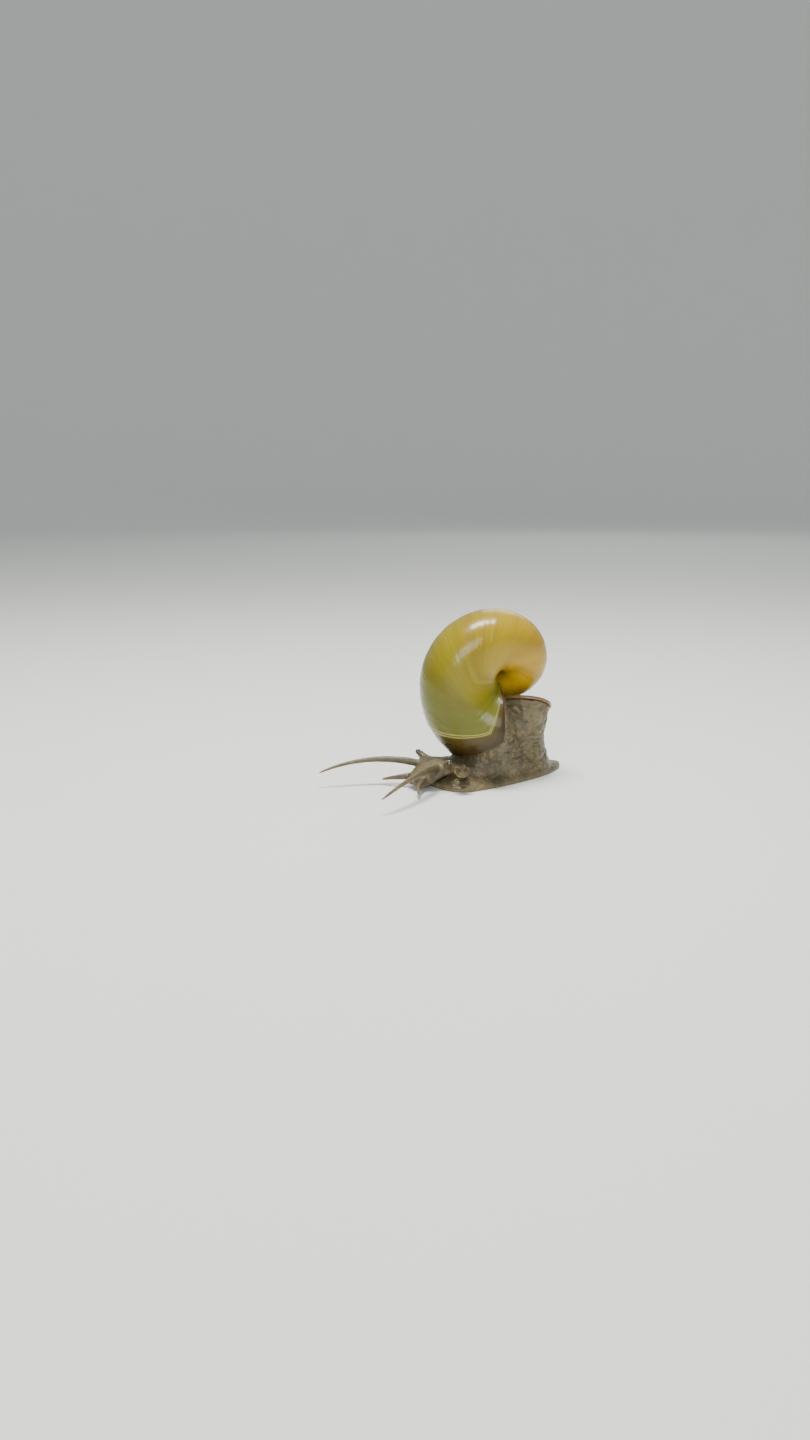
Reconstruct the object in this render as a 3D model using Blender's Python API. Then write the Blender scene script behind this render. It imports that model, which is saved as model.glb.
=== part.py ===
# Apple snail, life size, crawling on its foot with the shell tipped forward over its head.
# The animal heads along -Y with its left side at +X, and its sole lies on z = 0.
# Sizes below are in millimetres, angles in degrees unless a name says otherwise.
import math
import bpy
import bmesh
from mathutils import Matrix, Vector

MM = 0.001
GAP = 0.3                    # clearance between pieces that meet face to face
CLOSEST = 0.03               # corners nearer to each other than this are merged after a cut

# Where the middle of the shell's mouth stands over the floor, which centres the whole animal
MOUTH_X = 0.0
MOUTH_Y = 5.99

# Shell: a tube of oval section that coils round an axis and grows by a constant factor each turn
WHORL_GROWTH = 2.45
WHORLS = 4.5
TUBE_HALF_WIDTH = 10.3
TUBE_HALF_HEIGHT = 10.6
TUBE_SQUARENESS = 2.2        # 2 is an ellipse
SHOULDER_SWELL = 0.045       # how far the shoulder under the suture stands out, as a share of the radius
SHOULDER_ANGLE = 62.0
SHOULDER_SPREAD = 22.0
AXIS_TO_TUBE = 11.3
APEX_TO_TUBE = 18.6
LIP_PLANE_OFFSET = 9.7       # the mouth's plane lies this far in front of the coiling axis
LIP_TURN_LIMIT = 58.0        # the inner lip ends this far round the axis
LIP_CORNER_ROUNDING = 0.2    # radians
LIP_WALL = 1.0
SECTION_POINTS = 28
SEGMENT_TURNS = 0.75
LAST_SEGMENT_ROWS = 26
ROW_THINNING = 0.86
APEX_AZIMUTH = 150.5         # the axis points to the animal's right and back, and up
APEX_ELEVATION = 18.3
LIP_DROP = 30.5              # how far the shell is tipped forward round its axis
LIP_CLEARANCE = 7.0          # height of the lowest point of the lip over the floor
RECESS_DEPTH = 30.0          # how far round the axis the mouth is hollow

# Foot: one broad sole, round at the tail and blunt in front
SOLE_FRONT = -14.5
SOLE_MIDDLE = -4.0
SOLE_BACK = 27.0
SOLE_HALF_WIDTH = 10.3
FOOT_HEIGHT = 3.5
FOOT_RIM = 0.7
FOOT_TAIL_HEIGHT = 1.1
FOOT_FRONT_HEIGHT = 1.5
FOOT_CUTS = (-7.0, 9.5)      # where the front, the middle and the tail part
FOOT_ROWS = 26
FOOT_SIDES = 18

# Trunk: the column between the foot and the mouth of the shell
TRUNK_BASE_HEIGHT = FOOT_HEIGHT + GAP
TRUNK_BASE_MIDDLE = 3.0
TRUNK_BASE_HALF_WIDTH = 8.2
TRUNK_BASE_HALF_LENGTH = 13.0
TRUNK_FRONT = -6.0
TRUNK_DROP = 1.6             # the flesh hangs straight below the lip for this far
TRUNK_ROOT_HEIGHT = 1.5      # the trunk is drawn down to here and then cut along the top of the foot
LOBE_BASE_MIDDLE = (-0.2, 13.6)      # the lobe behind the trunk, which carries the operculum under the shell
LOBE_BASE_HALF_SIZE = (8.1, 9.4)
LOBE_ROOT_HEIGHT = 1.2
LOBE_WAIST = 0.8
OPERCULUM_TILT = 22.0
OPERCULUM_ROLL = 18.0        # its left side is raised to follow the underside of the shell
OPERCULUM_MIDDLE = (0.2, 13.2, 17.4)
OPERCULUM_HALF_LENGTH = 9.6
OPERCULUM_HALF_WIDTH = 7.0
OPERCULUM_THICKNESS = 0.9
OPERCULUM_RINGS = 5
OPERCULUM_RING_STEP = 0.14
OPERCULUM_HOLLOW = 0.9

# Neck and head, as stations from the trunk to the snout: y, half width, floor, top
NECK_STATIONS = ((-6.3, 6.1, 3.8, 6.2), (-8.6, 5.9, 3.7, 6.3), (-10.4, 5.3, 3.5, 6.7), (-11.6, 5.1, 3.3, 7.0))
HEAD_STATIONS = ((-11.9, 5.1, 3.2, 7.1), (-13.2, 5.2, 2.9, 7.3), (-14.6, 4.9, 2.4, 7.1), (-16.0, 4.3, 1.4, 6.4),
                 (-17.4, 3.8, 0.9, 5.5), (-18.6, 3.4, 0.8, 4.7), (-19.5, 2.8, 1.0, 4.1), (-20.1, 1.8, 1.4, 3.5))
HEAD_SIDES = 20
MOUTH_SLIT = (0.35, 1.3, 1.5)          # half width, half depth, half height
LIP_SWELL = 0.75

# Feelers: base, yaw from straight ahead, how far the yaw turns, pitch at the base and at the tip, length, radii
TENTACLE_BASE = (3.0, -15.0, 5.2)
TENTACLE_YAW = (38.0, 14.0)
TENTACLE_PITCH = (14.0, -20.0)
TENTACLE_LENGTH = 27.0
TENTACLE_RADII = (1.05, 0.28)
TENTACLE_LENGTHS = 3
TENTACLE_STATIONS = 9
PALP_BASE = (2.3, -18.3, 2.8)
PALP_YAW = (30.0, 62.0)
PALP_PITCH = (-2.0, -16.0)
PALP_LENGTH = 8.5
PALP_RADII = (0.95, 0.27)
FEELER_SIDES = 10
EYESTALK_BASE = (3.9, -12.9, 5.9)
EYESTALK_LENGTH = 3.0
EYESTALK_RADII = (0.95, 0.8)
EYESTALK_YAW = 70.0
EYESTALK_PITCH = 28.0
EYE_RADIUS = 0.72

# Neck lobes: a gutter on each side of the neck, the left one the breathing siphon
SIPHON_BASE = (6.4, -9.6, 5.1)
SIPHON_YAW = 52.0
SIPHON_PITCH = 12.0
SIPHON_LENGTH = 5.4
SIPHON_RADII = (1.25, 1.95)
RIGHT_LOBE_BASE = (-6.3, -9.4, 5.1)
RIGHT_LOBE_YAW = -58.0
RIGHT_LOBE_PITCH = 6.0
RIGHT_LOBE_LENGTH = 3.6
RIGHT_LOBE_RADII = (1.1, 1.5)
LOBE_WALL = 0.65
LOBE_ARC = 230.0

SHELL_COLOUR = (0.62, 0.47, 0.05)
FLESH_COLOUR = (0.20, 0.17, 0.10)
SOLE_COLOUR = (0.34, 0.29, 0.18)
OPERCULUM_COLOUR = (0.13, 0.07, 0.03)
EYE_COLOUR = (0.01, 0.01, 0.01)


def clear_scene():
    for obj in list(bpy.data.objects):
        bpy.data.objects.remove(obj)


def make_material(name, colour, roughness):
    material = bpy.data.materials.new(name)
    material.use_nodes = True
    shader = material.node_tree.nodes["Principled BSDF"]
    shader.inputs["Base Color"].default_value = (*colour, 1.0)
    shader.inputs["Roughness"].default_value = roughness
    shader.inputs["Metallic"].default_value = 0.0
    return material


def add_object(name, points, faces, material=None):
    """Closed mesh from points in millimetres, with its faces turned outward."""
    mesh = bpy.data.meshes.new(name)
    mesh.from_pydata([Vector(point) * MM for point in points], [], faces)
    work = bmesh.new()
    work.from_mesh(mesh)
    bmesh.ops.recalc_face_normals(work, faces=work.faces)
    work.to_mesh(mesh)
    work.free()
    if material:
        mesh.materials.append(material)
    obj = bpy.data.objects.new(name, mesh)
    bpy.context.scene.collection.objects.link(obj)
    return obj


def solid_from_rings(name, rings, material=None):
    """Joins rings of equal count into one closed tube, with a fan of triangles over each end."""
    count = len(rings[0])
    points = [point for ring in rings for point in ring]
    faces = []
    for row in range(len(rings) - 1):
        for i in range(count):
            j = (i + 1) % count
            faces.append((row * count + i, row * count + j, (row + 1) * count + j, (row + 1) * count + i))
    for row in (0, len(rings) - 1):
        centre = sum((Vector(point) for point in rings[row]), Vector()) / count
        points.append(centre)
        faces += [(row * count + i, row * count + (i + 1) % count, len(points) - 1) for i in range(count)]
    return add_object(name, points, faces, material)


def apply_modifiers(obj):
    graph = bpy.context.evaluated_depsgraph_get()
    mesh = bpy.data.meshes.new_from_object(obj.evaluated_get(graph))
    obj.modifiers.clear()
    obj.data = mesh


def combine(obj, others, operation):
    """One Boolean of obj with all the others, which are then removed."""
    group = bpy.data.collections.new("operands")
    bpy.context.scene.collection.children.link(group)
    for other in others:
        bpy.context.scene.collection.objects.unlink(other)
        group.objects.link(other)
    modifier = obj.modifiers.new("combine", "BOOLEAN")
    modifier.operation = operation
    modifier.operand_type = "COLLECTION"
    modifier.collection = group
    modifier.solver = "EXACT"
    apply_modifiers(obj)
    for other in others:
        bpy.data.objects.remove(other)
    bpy.data.collections.remove(group)
    return obj


def keep_largest(obj):
    """Keeps the closed surface with the largest extent, free of slivers."""
    work = bmesh.new()
    work.from_mesh(obj.data)
    left = set(work.verts)
    shells = []
    while left:
        found = {left.pop()}
        edge_of_search = list(found)
        while edge_of_search:
            vertex = edge_of_search.pop()
            for edge in vertex.link_edges:
                other = edge.other_vert(vertex)
                if other not in found:
                    found.add(other)
                    edge_of_search.append(other)
        left -= found
        shells.append(found)

    def extent(vertices):
        lows = [min(v.co[axis] for v in vertices) for axis in range(3)]
        highs = [max(v.co[axis] for v in vertices) for axis in range(3)]
        return math.prod(high - low for low, high in zip(lows, highs))

    shells.sort(key=extent, reverse=True)
    for scrap in shells[1:]:
        bmesh.ops.delete(work, geom=list(scrap), context="VERTS")
    bmesh.ops.remove_doubles(work, verts=work.verts, dist=CLOSEST * MM)
    bmesh.ops.dissolve_degenerate(work, edges=work.edges, dist=CLOSEST * MM)
    bmesh.ops.triangulate(work, faces=[face for face in work.faces if len(face.verts) > 4])
    work.to_mesh(obj.data)
    work.free()
    return obj


def box(name, low, high):
    """Axis-aligned block between two corners, used as a cutter."""
    corners = [(x, y, z) for x in (low[0], high[0]) for y in (low[1], high[1]) for z in (low[2], high[2])]
    faces = [(0, 1, 3, 2), (4, 6, 7, 5), (0, 4, 5, 1), (2, 3, 7, 6), (0, 2, 6, 4), (1, 5, 7, 3)]
    return add_object(name, corners, faces)


def smooth(obj, angle=40.0):
    obj.data.shade_smooth()
    obj.data.set_sharp_from_angle(angle=math.radians(angle))
    return obj


def at_mouth(point):
    """Places a point given from the middle of the shell's mouth into the animal's frame."""
    return Vector((point[0] + MOUTH_X, point[1] + MOUTH_Y, point[2]))


def shell_frame():
    """Axes of the shell: outward to the mouth, against the growth at the mouth, and along the axis to the apex."""
    azimuth, elevation = math.radians(APEX_AZIMUTH), math.radians(APEX_ELEVATION)
    axis = Vector((math.cos(elevation) * math.cos(azimuth), math.cos(elevation) * math.sin(azimuth),
                   math.sin(elevation)))
    upward = (Vector((0, 0, 1)) - axis * axis.z).normalized()
    outward = upward.cross(axis)
    drop = math.radians(LIP_DROP)
    to_mouth = outward * math.cos(drop) - upward * math.sin(drop)
    against_growth = outward * math.sin(drop) + upward * math.cos(drop)
    return Matrix((to_mouth, against_growth, axis)).transposed()


SHELL_AXES = shell_frame()
GROWTH_DIRECTION = -(SHELL_AXES @ Vector((0, 1, 0)))


def tube_section(inset):
    """Points of the tube's section: u outward from the coiling axis, v towards the apex."""
    half_width, half_height = TUBE_HALF_WIDTH - inset, TUBE_HALF_HEIGHT - inset
    section = []
    for i in range(SECTION_POINTS):
        angle = 2 * math.pi * i / SECTION_POINTS
        across, along = math.cos(angle), math.sin(angle)
        power = TUBE_SQUARENESS
        radius = (abs(across / half_width) ** power + abs(along / half_height) ** power) ** (-1 / power)
        off_shoulder = (math.degrees(angle) - SHOULDER_ANGLE + 180) % 360 - 180
        radius *= 1 + SHOULDER_SWELL * math.exp(-(off_shoulder / SHOULDER_SPREAD) ** 2)
        section.append((radius * across, radius * along))
    return section


def lip_turn(u):
    """How far round the axis, in radians, the growing edge stands at a place on the section.

    The edge lies in one plane in front of the axis, except at the inner lip, which stops short of it."""
    turn = 0.0
    limit = math.radians(LIP_TURN_LIMIT)
    for _ in range(14):
        from_axis = WHORL_GROWTH ** (turn / (2 * math.pi)) * (AXIS_TO_TUBE + u)
        plane_turn = math.asin(min(1.0, LIP_PLANE_OFFSET / max(from_axis, LIP_PLANE_OFFSET)))
        k = LIP_CORNER_ROUNDING
        softened = -k * math.log(math.exp(-plane_turn / k) + math.exp(-limit / k))
        turn = (turn + softened) / 2
    return turn


def from_apex(turn, u, v):
    """A point of the tube: turn is radians round the axis from the growing edge, below zero on the older shell."""
    angle = turn + lip_turn(u)
    size = WHORL_GROWTH ** (angle / (2 * math.pi))
    from_axis = size * (AXIS_TO_TUBE + u)
    local = Vector((from_axis * math.cos(angle), -from_axis * math.sin(angle), size * (v - APEX_TO_TUBE)))
    return SHELL_AXES @ local


def place_apex():
    """Sets the apex so that the mouth is centred and its lip clears the floor."""
    lip = [from_apex(0.0, u, v) for u, v in tube_section(0.0)]
    middle = sum(lip, Vector()) / len(lip)
    return Vector((MOUTH_X - middle.x, MOUTH_Y - middle.y, LIP_CLEARANCE - min(point.z for point in lip)))


APEX = place_apex()


def tube_ring(turn, inset, shift=0.0):
    return [APEX + from_apex(turn, u, v) + GROWTH_DIRECTION * shift for u, v in tube_section(inset)]


def tube_solid(name, start, end, rows, inset=0.0, material=None):
    turns = [start + (end - start) * row / (rows - 1) for row in range(rows)]
    return solid_from_rings(name, [tube_ring(turn, inset) for turn in turns], material)


def older_whorl(name, grown):
    """The whorl before the last one where it bulges into the mouth, grown for clearance."""
    return tube_solid(name, -1.25 * 2 * math.pi, -0.8 * 2 * math.pi, 16, inset=-grown)


def make_shell(material):
    """The last whorl, whose wall turns back into the hollow mouth at the lip, joined with the older whorls."""
    turn = 2 * math.pi
    rows = LAST_SEGMENT_ROWS
    rings = [tube_ring(-SEGMENT_TURNS * turn * (1 - row / (rows - 1)), 0.0) for row in range(rows)]
    rings += [tube_ring(-math.radians(RECESS_DEPTH) * row / 4, LIP_WALL) for row in range(5)]
    shell = solid_from_rings("shell", rings, material)
    older = []
    end = -SEGMENT_TURNS
    while end > -WHORLS:
        rows = max(9, round(rows * ROW_THINNING))
        start = max(-WHORLS, end - SEGMENT_TURNS)
        older.append(tube_solid("whorl", start * turn, end * turn, rows))
        end = start
    combine(shell, older, "UNION")
    return smooth(keep_largest(shell))


def make_mantle(material):
    """The flesh that fills the mouth of the shell, just inside its lip."""
    inset = LIP_WALL + GAP
    deep = -math.radians(RECESS_DEPTH - 2.5)
    rings = [tube_ring(deep * (1 - share), inset, -GAP / 2 * share) for share in (0, 0.25, 0.5, 0.75, 1)]
    mantle = solid_from_rings("mantle", rings, material)
    combine(mantle, [older_whorl("whorl", GAP)], "DIFFERENCE")
    return smooth(keep_largest(mantle))


def sole_half_width(y):
    if y < SOLE_MIDDLE:
        share = (SOLE_MIDDLE - y) / (SOLE_MIDDLE - SOLE_FRONT)
        return SOLE_HALF_WIDTH * (1 - share ** 4.5) ** (1 / 2.2)
    share = (y - SOLE_MIDDLE) / (SOLE_BACK - SOLE_MIDDLE)
    return SOLE_HALF_WIDTH * (1 - share ** 2.1) ** (1 / 1.8)


def foot_height(y):
    """Height of the foot along its middle, full under the trunk and low at both ends."""
    front = min(1.0, max(0.0, (y - SOLE_FRONT) / 6.0))
    back = min(1.0, max(0.0, (SOLE_BACK - y) / 14.0))
    ease_front = front * front * (3 - 2 * front)
    ease_back = back * back * (3 - 2 * back)
    low = FOOT_FRONT_HEIGHT if y < SOLE_MIDDLE else FOOT_TAIL_HEIGHT
    return low + (FOOT_HEIGHT - low) * min(ease_front, ease_back)


def foot_solid(name, grown=0.0, material=None):
    rings = []
    length = SOLE_BACK - SOLE_FRONT
    for row in range(FOOT_ROWS):
        share = (1 - math.cos(math.pi * (row + 0.5) / FOOT_ROWS)) / 2
        y = SOLE_FRONT + length * share
        half, height = sole_half_width(y), foot_height(y)
        rim = min(FOOT_RIM, height * 0.6)
        ring = []
        for i in range(FOOT_SIDES):
            across = math.cos(math.pi * i / (FOOT_SIDES - 1))
            lift = rim + (height - rim) * (1 - abs(across) ** 3.0) ** 0.75
            ring.append(at_mouth((half * across, y, lift + grown)))
        ring += [at_mouth((-half * 0.97, y, 0.0)), at_mouth((half * 0.97, y, 0.0))]
        rings.append(ring)
    return solid_from_rings(name, rings, material)


def make_foot(material):
    """The foot, parted crosswise into front, middle and tail."""
    edges = (SOLE_FRONT - 5, *FOOT_CUTS, SOLE_BACK + 5)
    names = ("foot_front", "foot_middle", "foot_tail")
    for name, low, high in zip(names, edges, edges[1:]):
        piece = foot_solid(name, material=material)
        keep = box("keep", at_mouth((-20, low + GAP / 2, -5)), at_mouth((20, high - GAP / 2, 20)))
        combine(piece, [keep], "INTERSECT")
        smooth(keep_largest(piece))


def operculum_axes():
    """Across, up the slope towards the shell, and out of the plate."""
    tilt, roll = math.radians(OPERCULUM_TILT), math.radians(OPERCULUM_ROLL)
    out = Vector((0, math.sin(tilt), math.cos(tilt)))
    left = Vector((1, 0, 0))
    return (left * math.cos(roll) + out * math.sin(roll), Vector((0, -math.cos(tilt), math.sin(tilt))),
            out * math.cos(roll) - left * math.sin(roll))


def operculum_point(across, along, out):
    x_axis, y_axis, z_axis = operculum_axes()
    return at_mouth(OPERCULUM_MIDDLE) + x_axis * across + y_axis * along + z_axis * out


def make_operculum(material):
    """Horny lid of the shell's mouth, dished, with growth rings stepped round its nucleus."""
    sides = 28
    rings = [[operculum_point(OPERCULUM_HALF_LENGTH * 0.98 * math.cos(2 * math.pi * i / sides),
                              OPERCULUM_HALF_WIDTH * 0.98 * math.sin(2 * math.pi * i / sides), 0.0)
              for i in range(sides)]]
    for ring in range(OPERCULUM_RINGS):
        for edge in (1.0, 0.86):
            share = 1 - (ring + 1 - edge) / OPERCULUM_RINGS
            sunk = OPERCULUM_HOLLOW * 0.5 * (1 - share * share)
            step = OPERCULUM_RING_STEP * (1 if edge < 1 else 0)
            points = []
            for i in range(sides):
                angle = 2 * math.pi * i / sides
                nucleus = 0.28 * OPERCULUM_HALF_WIDTH * (1 - share)
                points.append(operculum_point(OPERCULUM_HALF_LENGTH * share * math.cos(angle),
                                              OPERCULUM_HALF_WIDTH * share * math.sin(angle) + nucleus,
                                              OPERCULUM_THICKNESS - sunk + step))
            rings.append(points)
    return smooth(solid_from_rings("operculum", rings, material), 25.0)


def trunk_base_point(direction):
    """Where the trunk's foot line is crossed by a direction seen from above."""
    x, y = direction
    power = 2.4
    radius = (abs(x / TRUNK_BASE_HALF_WIDTH) ** power + abs(y / TRUNK_BASE_HALF_LENGTH) ** power) ** (-1 / power)
    return at_mouth((x * radius, TRUNK_BASE_MIDDLE + y * radius, TRUNK_BASE_HEIGHT))


def opercular_lobe():
    """Pad of flesh that stands on the tail and widens up to the underside of the operculum."""
    sides = 28
    half_x, half_y = LOBE_BASE_HALF_SIZE
    rings = []
    for share in (0, 0.2, 0.45, 0.7, 0.9, 1):
        ring = []
        for i in range(sides):
            across, along = math.cos(2 * math.pi * i / sides), math.sin(2 * math.pi * i / sides)
            low = at_mouth((LOBE_BASE_MIDDLE[0] + half_x * across, LOBE_BASE_MIDDLE[1] - half_y * along,
                            LOBE_ROOT_HEIGHT))
            high = operculum_point(OPERCULUM_HALF_LENGTH * 0.95 * across, OPERCULUM_HALF_WIDTH * 0.95 * along, GAP)
            waist = 1 - (1 - LOBE_WAIST) * math.sin(math.pi * share)
            point = low.lerp(high, share)
            middle = at_mouth((*LOBE_BASE_MIDDLE, 0)).lerp(at_mouth(OPERCULUM_MIDDLE), share)
            ring.append((middle.x + (point.x - middle.x) * waist, middle.y + (point.y - middle.y) * waist, point.z))
        rings.append(ring)
    return solid_from_rings("lobe", rings)


def make_trunk(material):
    """Column of flesh from the foot into the shell's mouth, with the lobe that carries the operculum behind."""
    inset = LIP_WALL + GAP
    lip = tube_ring(0.0, inset, GAP / 2)
    below = tube_ring(0.0, inset, TRUNK_DROP)
    middle = sum(lip, Vector()) / len(lip)
    base = []
    for point in lip:
        out = point - middle
        out.z = 0
        out.normalize()
        base.append(trunk_base_point((out.x, out.y)))
    rings = [lip, below]
    for share in (0.25, 0.5, 0.75, 1.0):
        ease = share * share * (3 - 2 * share) * 0.4 + share * 0.6
        rings.append([low.lerp(high, 1 - ease) for low, high in zip(base, below)])
    rings.append([(point.x, point.y, TRUNK_ROOT_HEIGHT) for point in base])
    trunk = solid_from_rings("trunk", rings, material)
    combine(trunk, [opercular_lobe()], "UNION")
    front = box("front", at_mouth((-20, -30, -5)), at_mouth((20, TRUNK_FRONT, 40)))
    seat_top = OPERCULUM_HALF_WIDTH + 2 * GAP
    seat_corners = [operculum_point(x, y, z) for x in (-20, 20) for y in (-20, seat_top) for z in (-GAP, 20)]
    seat_faces = [(0, 1, 3, 2), (4, 6, 7, 5), (0, 4, 5, 1), (2, 3, 7, 6), (0, 2, 6, 4), (1, 5, 7, 3)]
    seat = add_object("seat", seat_corners, seat_faces)
    combine(trunk, [front, seat, older_whorl("whorl", GAP), foot_solid("foot", grown=GAP)], "DIFFERENCE")
    return smooth(keep_largest(trunk))


def station_ring(y, half_width, low, high):
    middle, half_height = (low + high) / 2, (high - low) / 2
    ring = []
    for i in range(HEAD_SIDES):
        angle = 2 * math.pi * i / HEAD_SIDES
        across, up = math.cos(angle), math.sin(angle)
        radius = (abs(across) ** 2.5 + abs(up) ** 2.5) ** (-1 / 2.5)
        ring.append(at_mouth((half_width * radius * across, y, middle + half_height * radius * up)))
    return ring


def make_neck(material):
    neck = solid_from_rings("neck", [station_ring(*station) for station in NECK_STATIONS], material)
    combine(neck, [foot_solid("foot", grown=GAP)], "DIFFERENCE")
    return smooth(keep_largest(neck))


def ball(name, middle, radii, segments=16, rings=10):
    mesh = bpy.data.meshes.new(name)
    work = bmesh.new()
    bmesh.ops.create_uvsphere(work, u_segments=segments, v_segments=rings, radius=1.0)
    bmesh.ops.scale(work, vec=Vector(radii) * MM, verts=work.verts)
    bmesh.ops.translate(work, vec=Vector(middle) * MM, verts=work.verts)
    work.to_mesh(mesh)
    work.free()
    obj = bpy.data.objects.new(name, mesh)
    bpy.context.scene.collection.objects.link(obj)
    return obj


def head_core(name, grown=0.0, material=None):
    rings = [station_ring(y, half_width + grown, low - grown, high + grown)
             for y, half_width, low, high in HEAD_STATIONS]
    return solid_from_rings(name, rings, material)


def root_on_head(piece):
    """Cuts a piece that grows from the head so that it meets the head face to face."""
    combine(piece, [head_core("head", GAP)], "DIFFERENCE")
    return smooth(keep_largest(piece))


def make_head(material):
    """Head with its broad snout, two lips at the tip and the upright slit of the mouth between them."""
    head = head_core("head", material=material)
    y, _, low, high = HEAD_STATIONS[-1]
    height = (low + high) / 2
    lips = [ball("lip", at_mouth((side * LIP_SWELL, y + 0.1, height)), (1.05, 0.8, 1.25)) for side in (-1, 1)]
    combine(head, lips, "UNION")
    slit = ball("slit", at_mouth((0, y - 0.6, height)), MOUTH_SLIT)
    combine(head, [slit, foot_solid("foot", grown=GAP)], "DIFFERENCE")
    return smooth(keep_largest(head))


def heading(yaw, pitch):
    """Direction at a yaw from straight ahead towards the animal's left, and a pitch above level."""
    yaw, pitch = math.radians(yaw), math.radians(pitch)
    return Vector((math.sin(yaw) * math.cos(pitch), -math.cos(yaw) * math.cos(pitch), math.sin(pitch)))


def feeler_line(base, yaw, pitch, length, steps):
    """Points of a feeler that bends steadily from its base to its tip."""
    points = [Vector(base)]
    for step in range(steps):
        share = (step + 0.5) / steps
        way = heading(yaw[0] + (yaw[1] - yaw[0]) * share, pitch[0] + (pitch[1] - pitch[0]) * share)
        points.append(points[-1] + way * length / steps)
    return points


def round_ring(middle, way, radius, sides=FEELER_SIDES):
    across = way.cross(Vector((0, 0, 1))).normalized()
    up = across.cross(way).normalized()
    return [middle + (across * math.cos(2 * math.pi * i / sides) + up * math.sin(2 * math.pi * i / sides)) * radius
            for i in range(sides)]


def feeler_solid(name, line, radii, start, end, material):
    """The stretch of a feeler between two shares of its length."""
    steps = len(line) - 1
    stations = max(3, round(TENTACLE_STATIONS * (end - start)) + 2)
    rings = []
    for k in range(stations):
        share = start + (end - start) * k / (stations - 1)
        i = min(steps - 1, int(share * steps))
        middle = line[i].lerp(line[i + 1], share * steps - i)
        before, after = max(0, i - 1), min(steps, i + 2)
        way = (line[after] - line[before]).normalized()
        radius = radii[0] + (radii[1] - radii[0]) * share
        rings.append(round_ring(middle, way, radius))
    if end == 1.0:
        tip = line[-1] + (line[-1] - line[-2]).normalized() * radii[1] * 0.7
        rings.append(round_ring(tip, (line[-1] - line[-2]).normalized(), radii[1] * 0.55))
    return smooth(solid_from_rings(name, rings, material))


def make_feelers(side_name, side, materials):
    """Tentacle, mouth feeler, eye and eye stalk of one side; side is 1 for left and -1 for right."""
    flesh, eye_black = materials

    def mirror(point):
        return at_mouth((point[0] * side, point[1], point[2]))

    line = feeler_line(mirror(TENTACLE_BASE), [side * yaw for yaw in TENTACLE_YAW], TENTACLE_PITCH,
                       TENTACLE_LENGTH, 24)
    gap = GAP / TENTACLE_LENGTH
    for k in range(TENTACLE_LENGTHS):
        start = k / TENTACLE_LENGTHS + (gap / 2 if k else 0.0)
        end = 1.0 if k == TENTACLE_LENGTHS - 1 else (k + 1) / TENTACLE_LENGTHS - gap / 2
        piece = feeler_solid(f"tentacle_{side_name}_{k + 1}", line, TENTACLE_RADII, start, end, flesh)
        if k == 0:
            root_on_head(piece)
    line = feeler_line(mirror(PALP_BASE), [side * yaw for yaw in PALP_YAW], PALP_PITCH, PALP_LENGTH, 10)
    root_on_head(feeler_solid(f"labial_palp_{side_name}", line, PALP_RADII, 0.0, 1.0, flesh))
    way = heading(side * EYESTALK_YAW, EYESTALK_PITCH)
    base = mirror(EYESTALK_BASE)
    end = base + way * EYESTALK_LENGTH
    rings = [round_ring(base.lerp(end, k / 2), way, EYESTALK_RADII[0] + (EYESTALK_RADII[1] - EYESTALK_RADII[0]) * k / 2)
             for k in range(3)]
    root_on_head(solid_from_rings(f"eyestalk_{side_name}", rings, flesh))
    sink = 0.3 * EYE_RADIUS
    middle = end + way * (GAP + sink)
    rings = []
    for k in range(7):
        climb = -sink + (EYE_RADIUS * 1.28) * k / 6
        climb = min(climb, EYE_RADIUS * 0.98)
        radius = math.sqrt(max(0.0, EYE_RADIUS ** 2 - climb ** 2))
        rings.append(round_ring(middle + way * climb, way, radius))
    eye = solid_from_rings(f"eye_{side_name}", rings, eye_black)
    smooth(eye)


def make_lobe(name, base, yaw, pitch, length, radii, material):
    """An open gutter of flesh, which widens away from the neck."""
    way = heading(yaw, pitch)
    across = way.cross(Vector((0, 0, 1))).normalized()
    up = across.cross(way).normalized()
    half_arc = math.radians(LOBE_ARC / 2)
    steps = 10
    rings = []
    for k in range(5):
        middle = at_mouth(base) + way * length * k / 4
        radius = radii[0] + (radii[1] - radii[0]) * k / 4
        ring = []
        for wall in (0, LOBE_WALL):
            for i in range(steps + 1):
                share = i / steps if wall == 0 else 1 - i / steps
                angle = -half_arc + 2 * half_arc * share
                ring.append(middle + (across * math.sin(angle) - up * math.cos(angle)) * (radius - wall))
        rings.append(ring)
    count = len(rings[0])
    points = [point for ring in rings for point in ring]
    faces = []
    for row in range(len(rings) - 1):
        for i in range(count):
            j = (i + 1) % count
            faces.append((row * count + i, row * count + j, (row + 1) * count + j, (row + 1) * count + i))
    for row in (0, len(rings) - 1):
        for i in range(steps):
            outer, inner = row * count + i, row * count + count - 1 - i
            faces.append((outer, outer + 1, inner - 1, inner))
    return smooth(add_object(name, points, faces, material))


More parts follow.
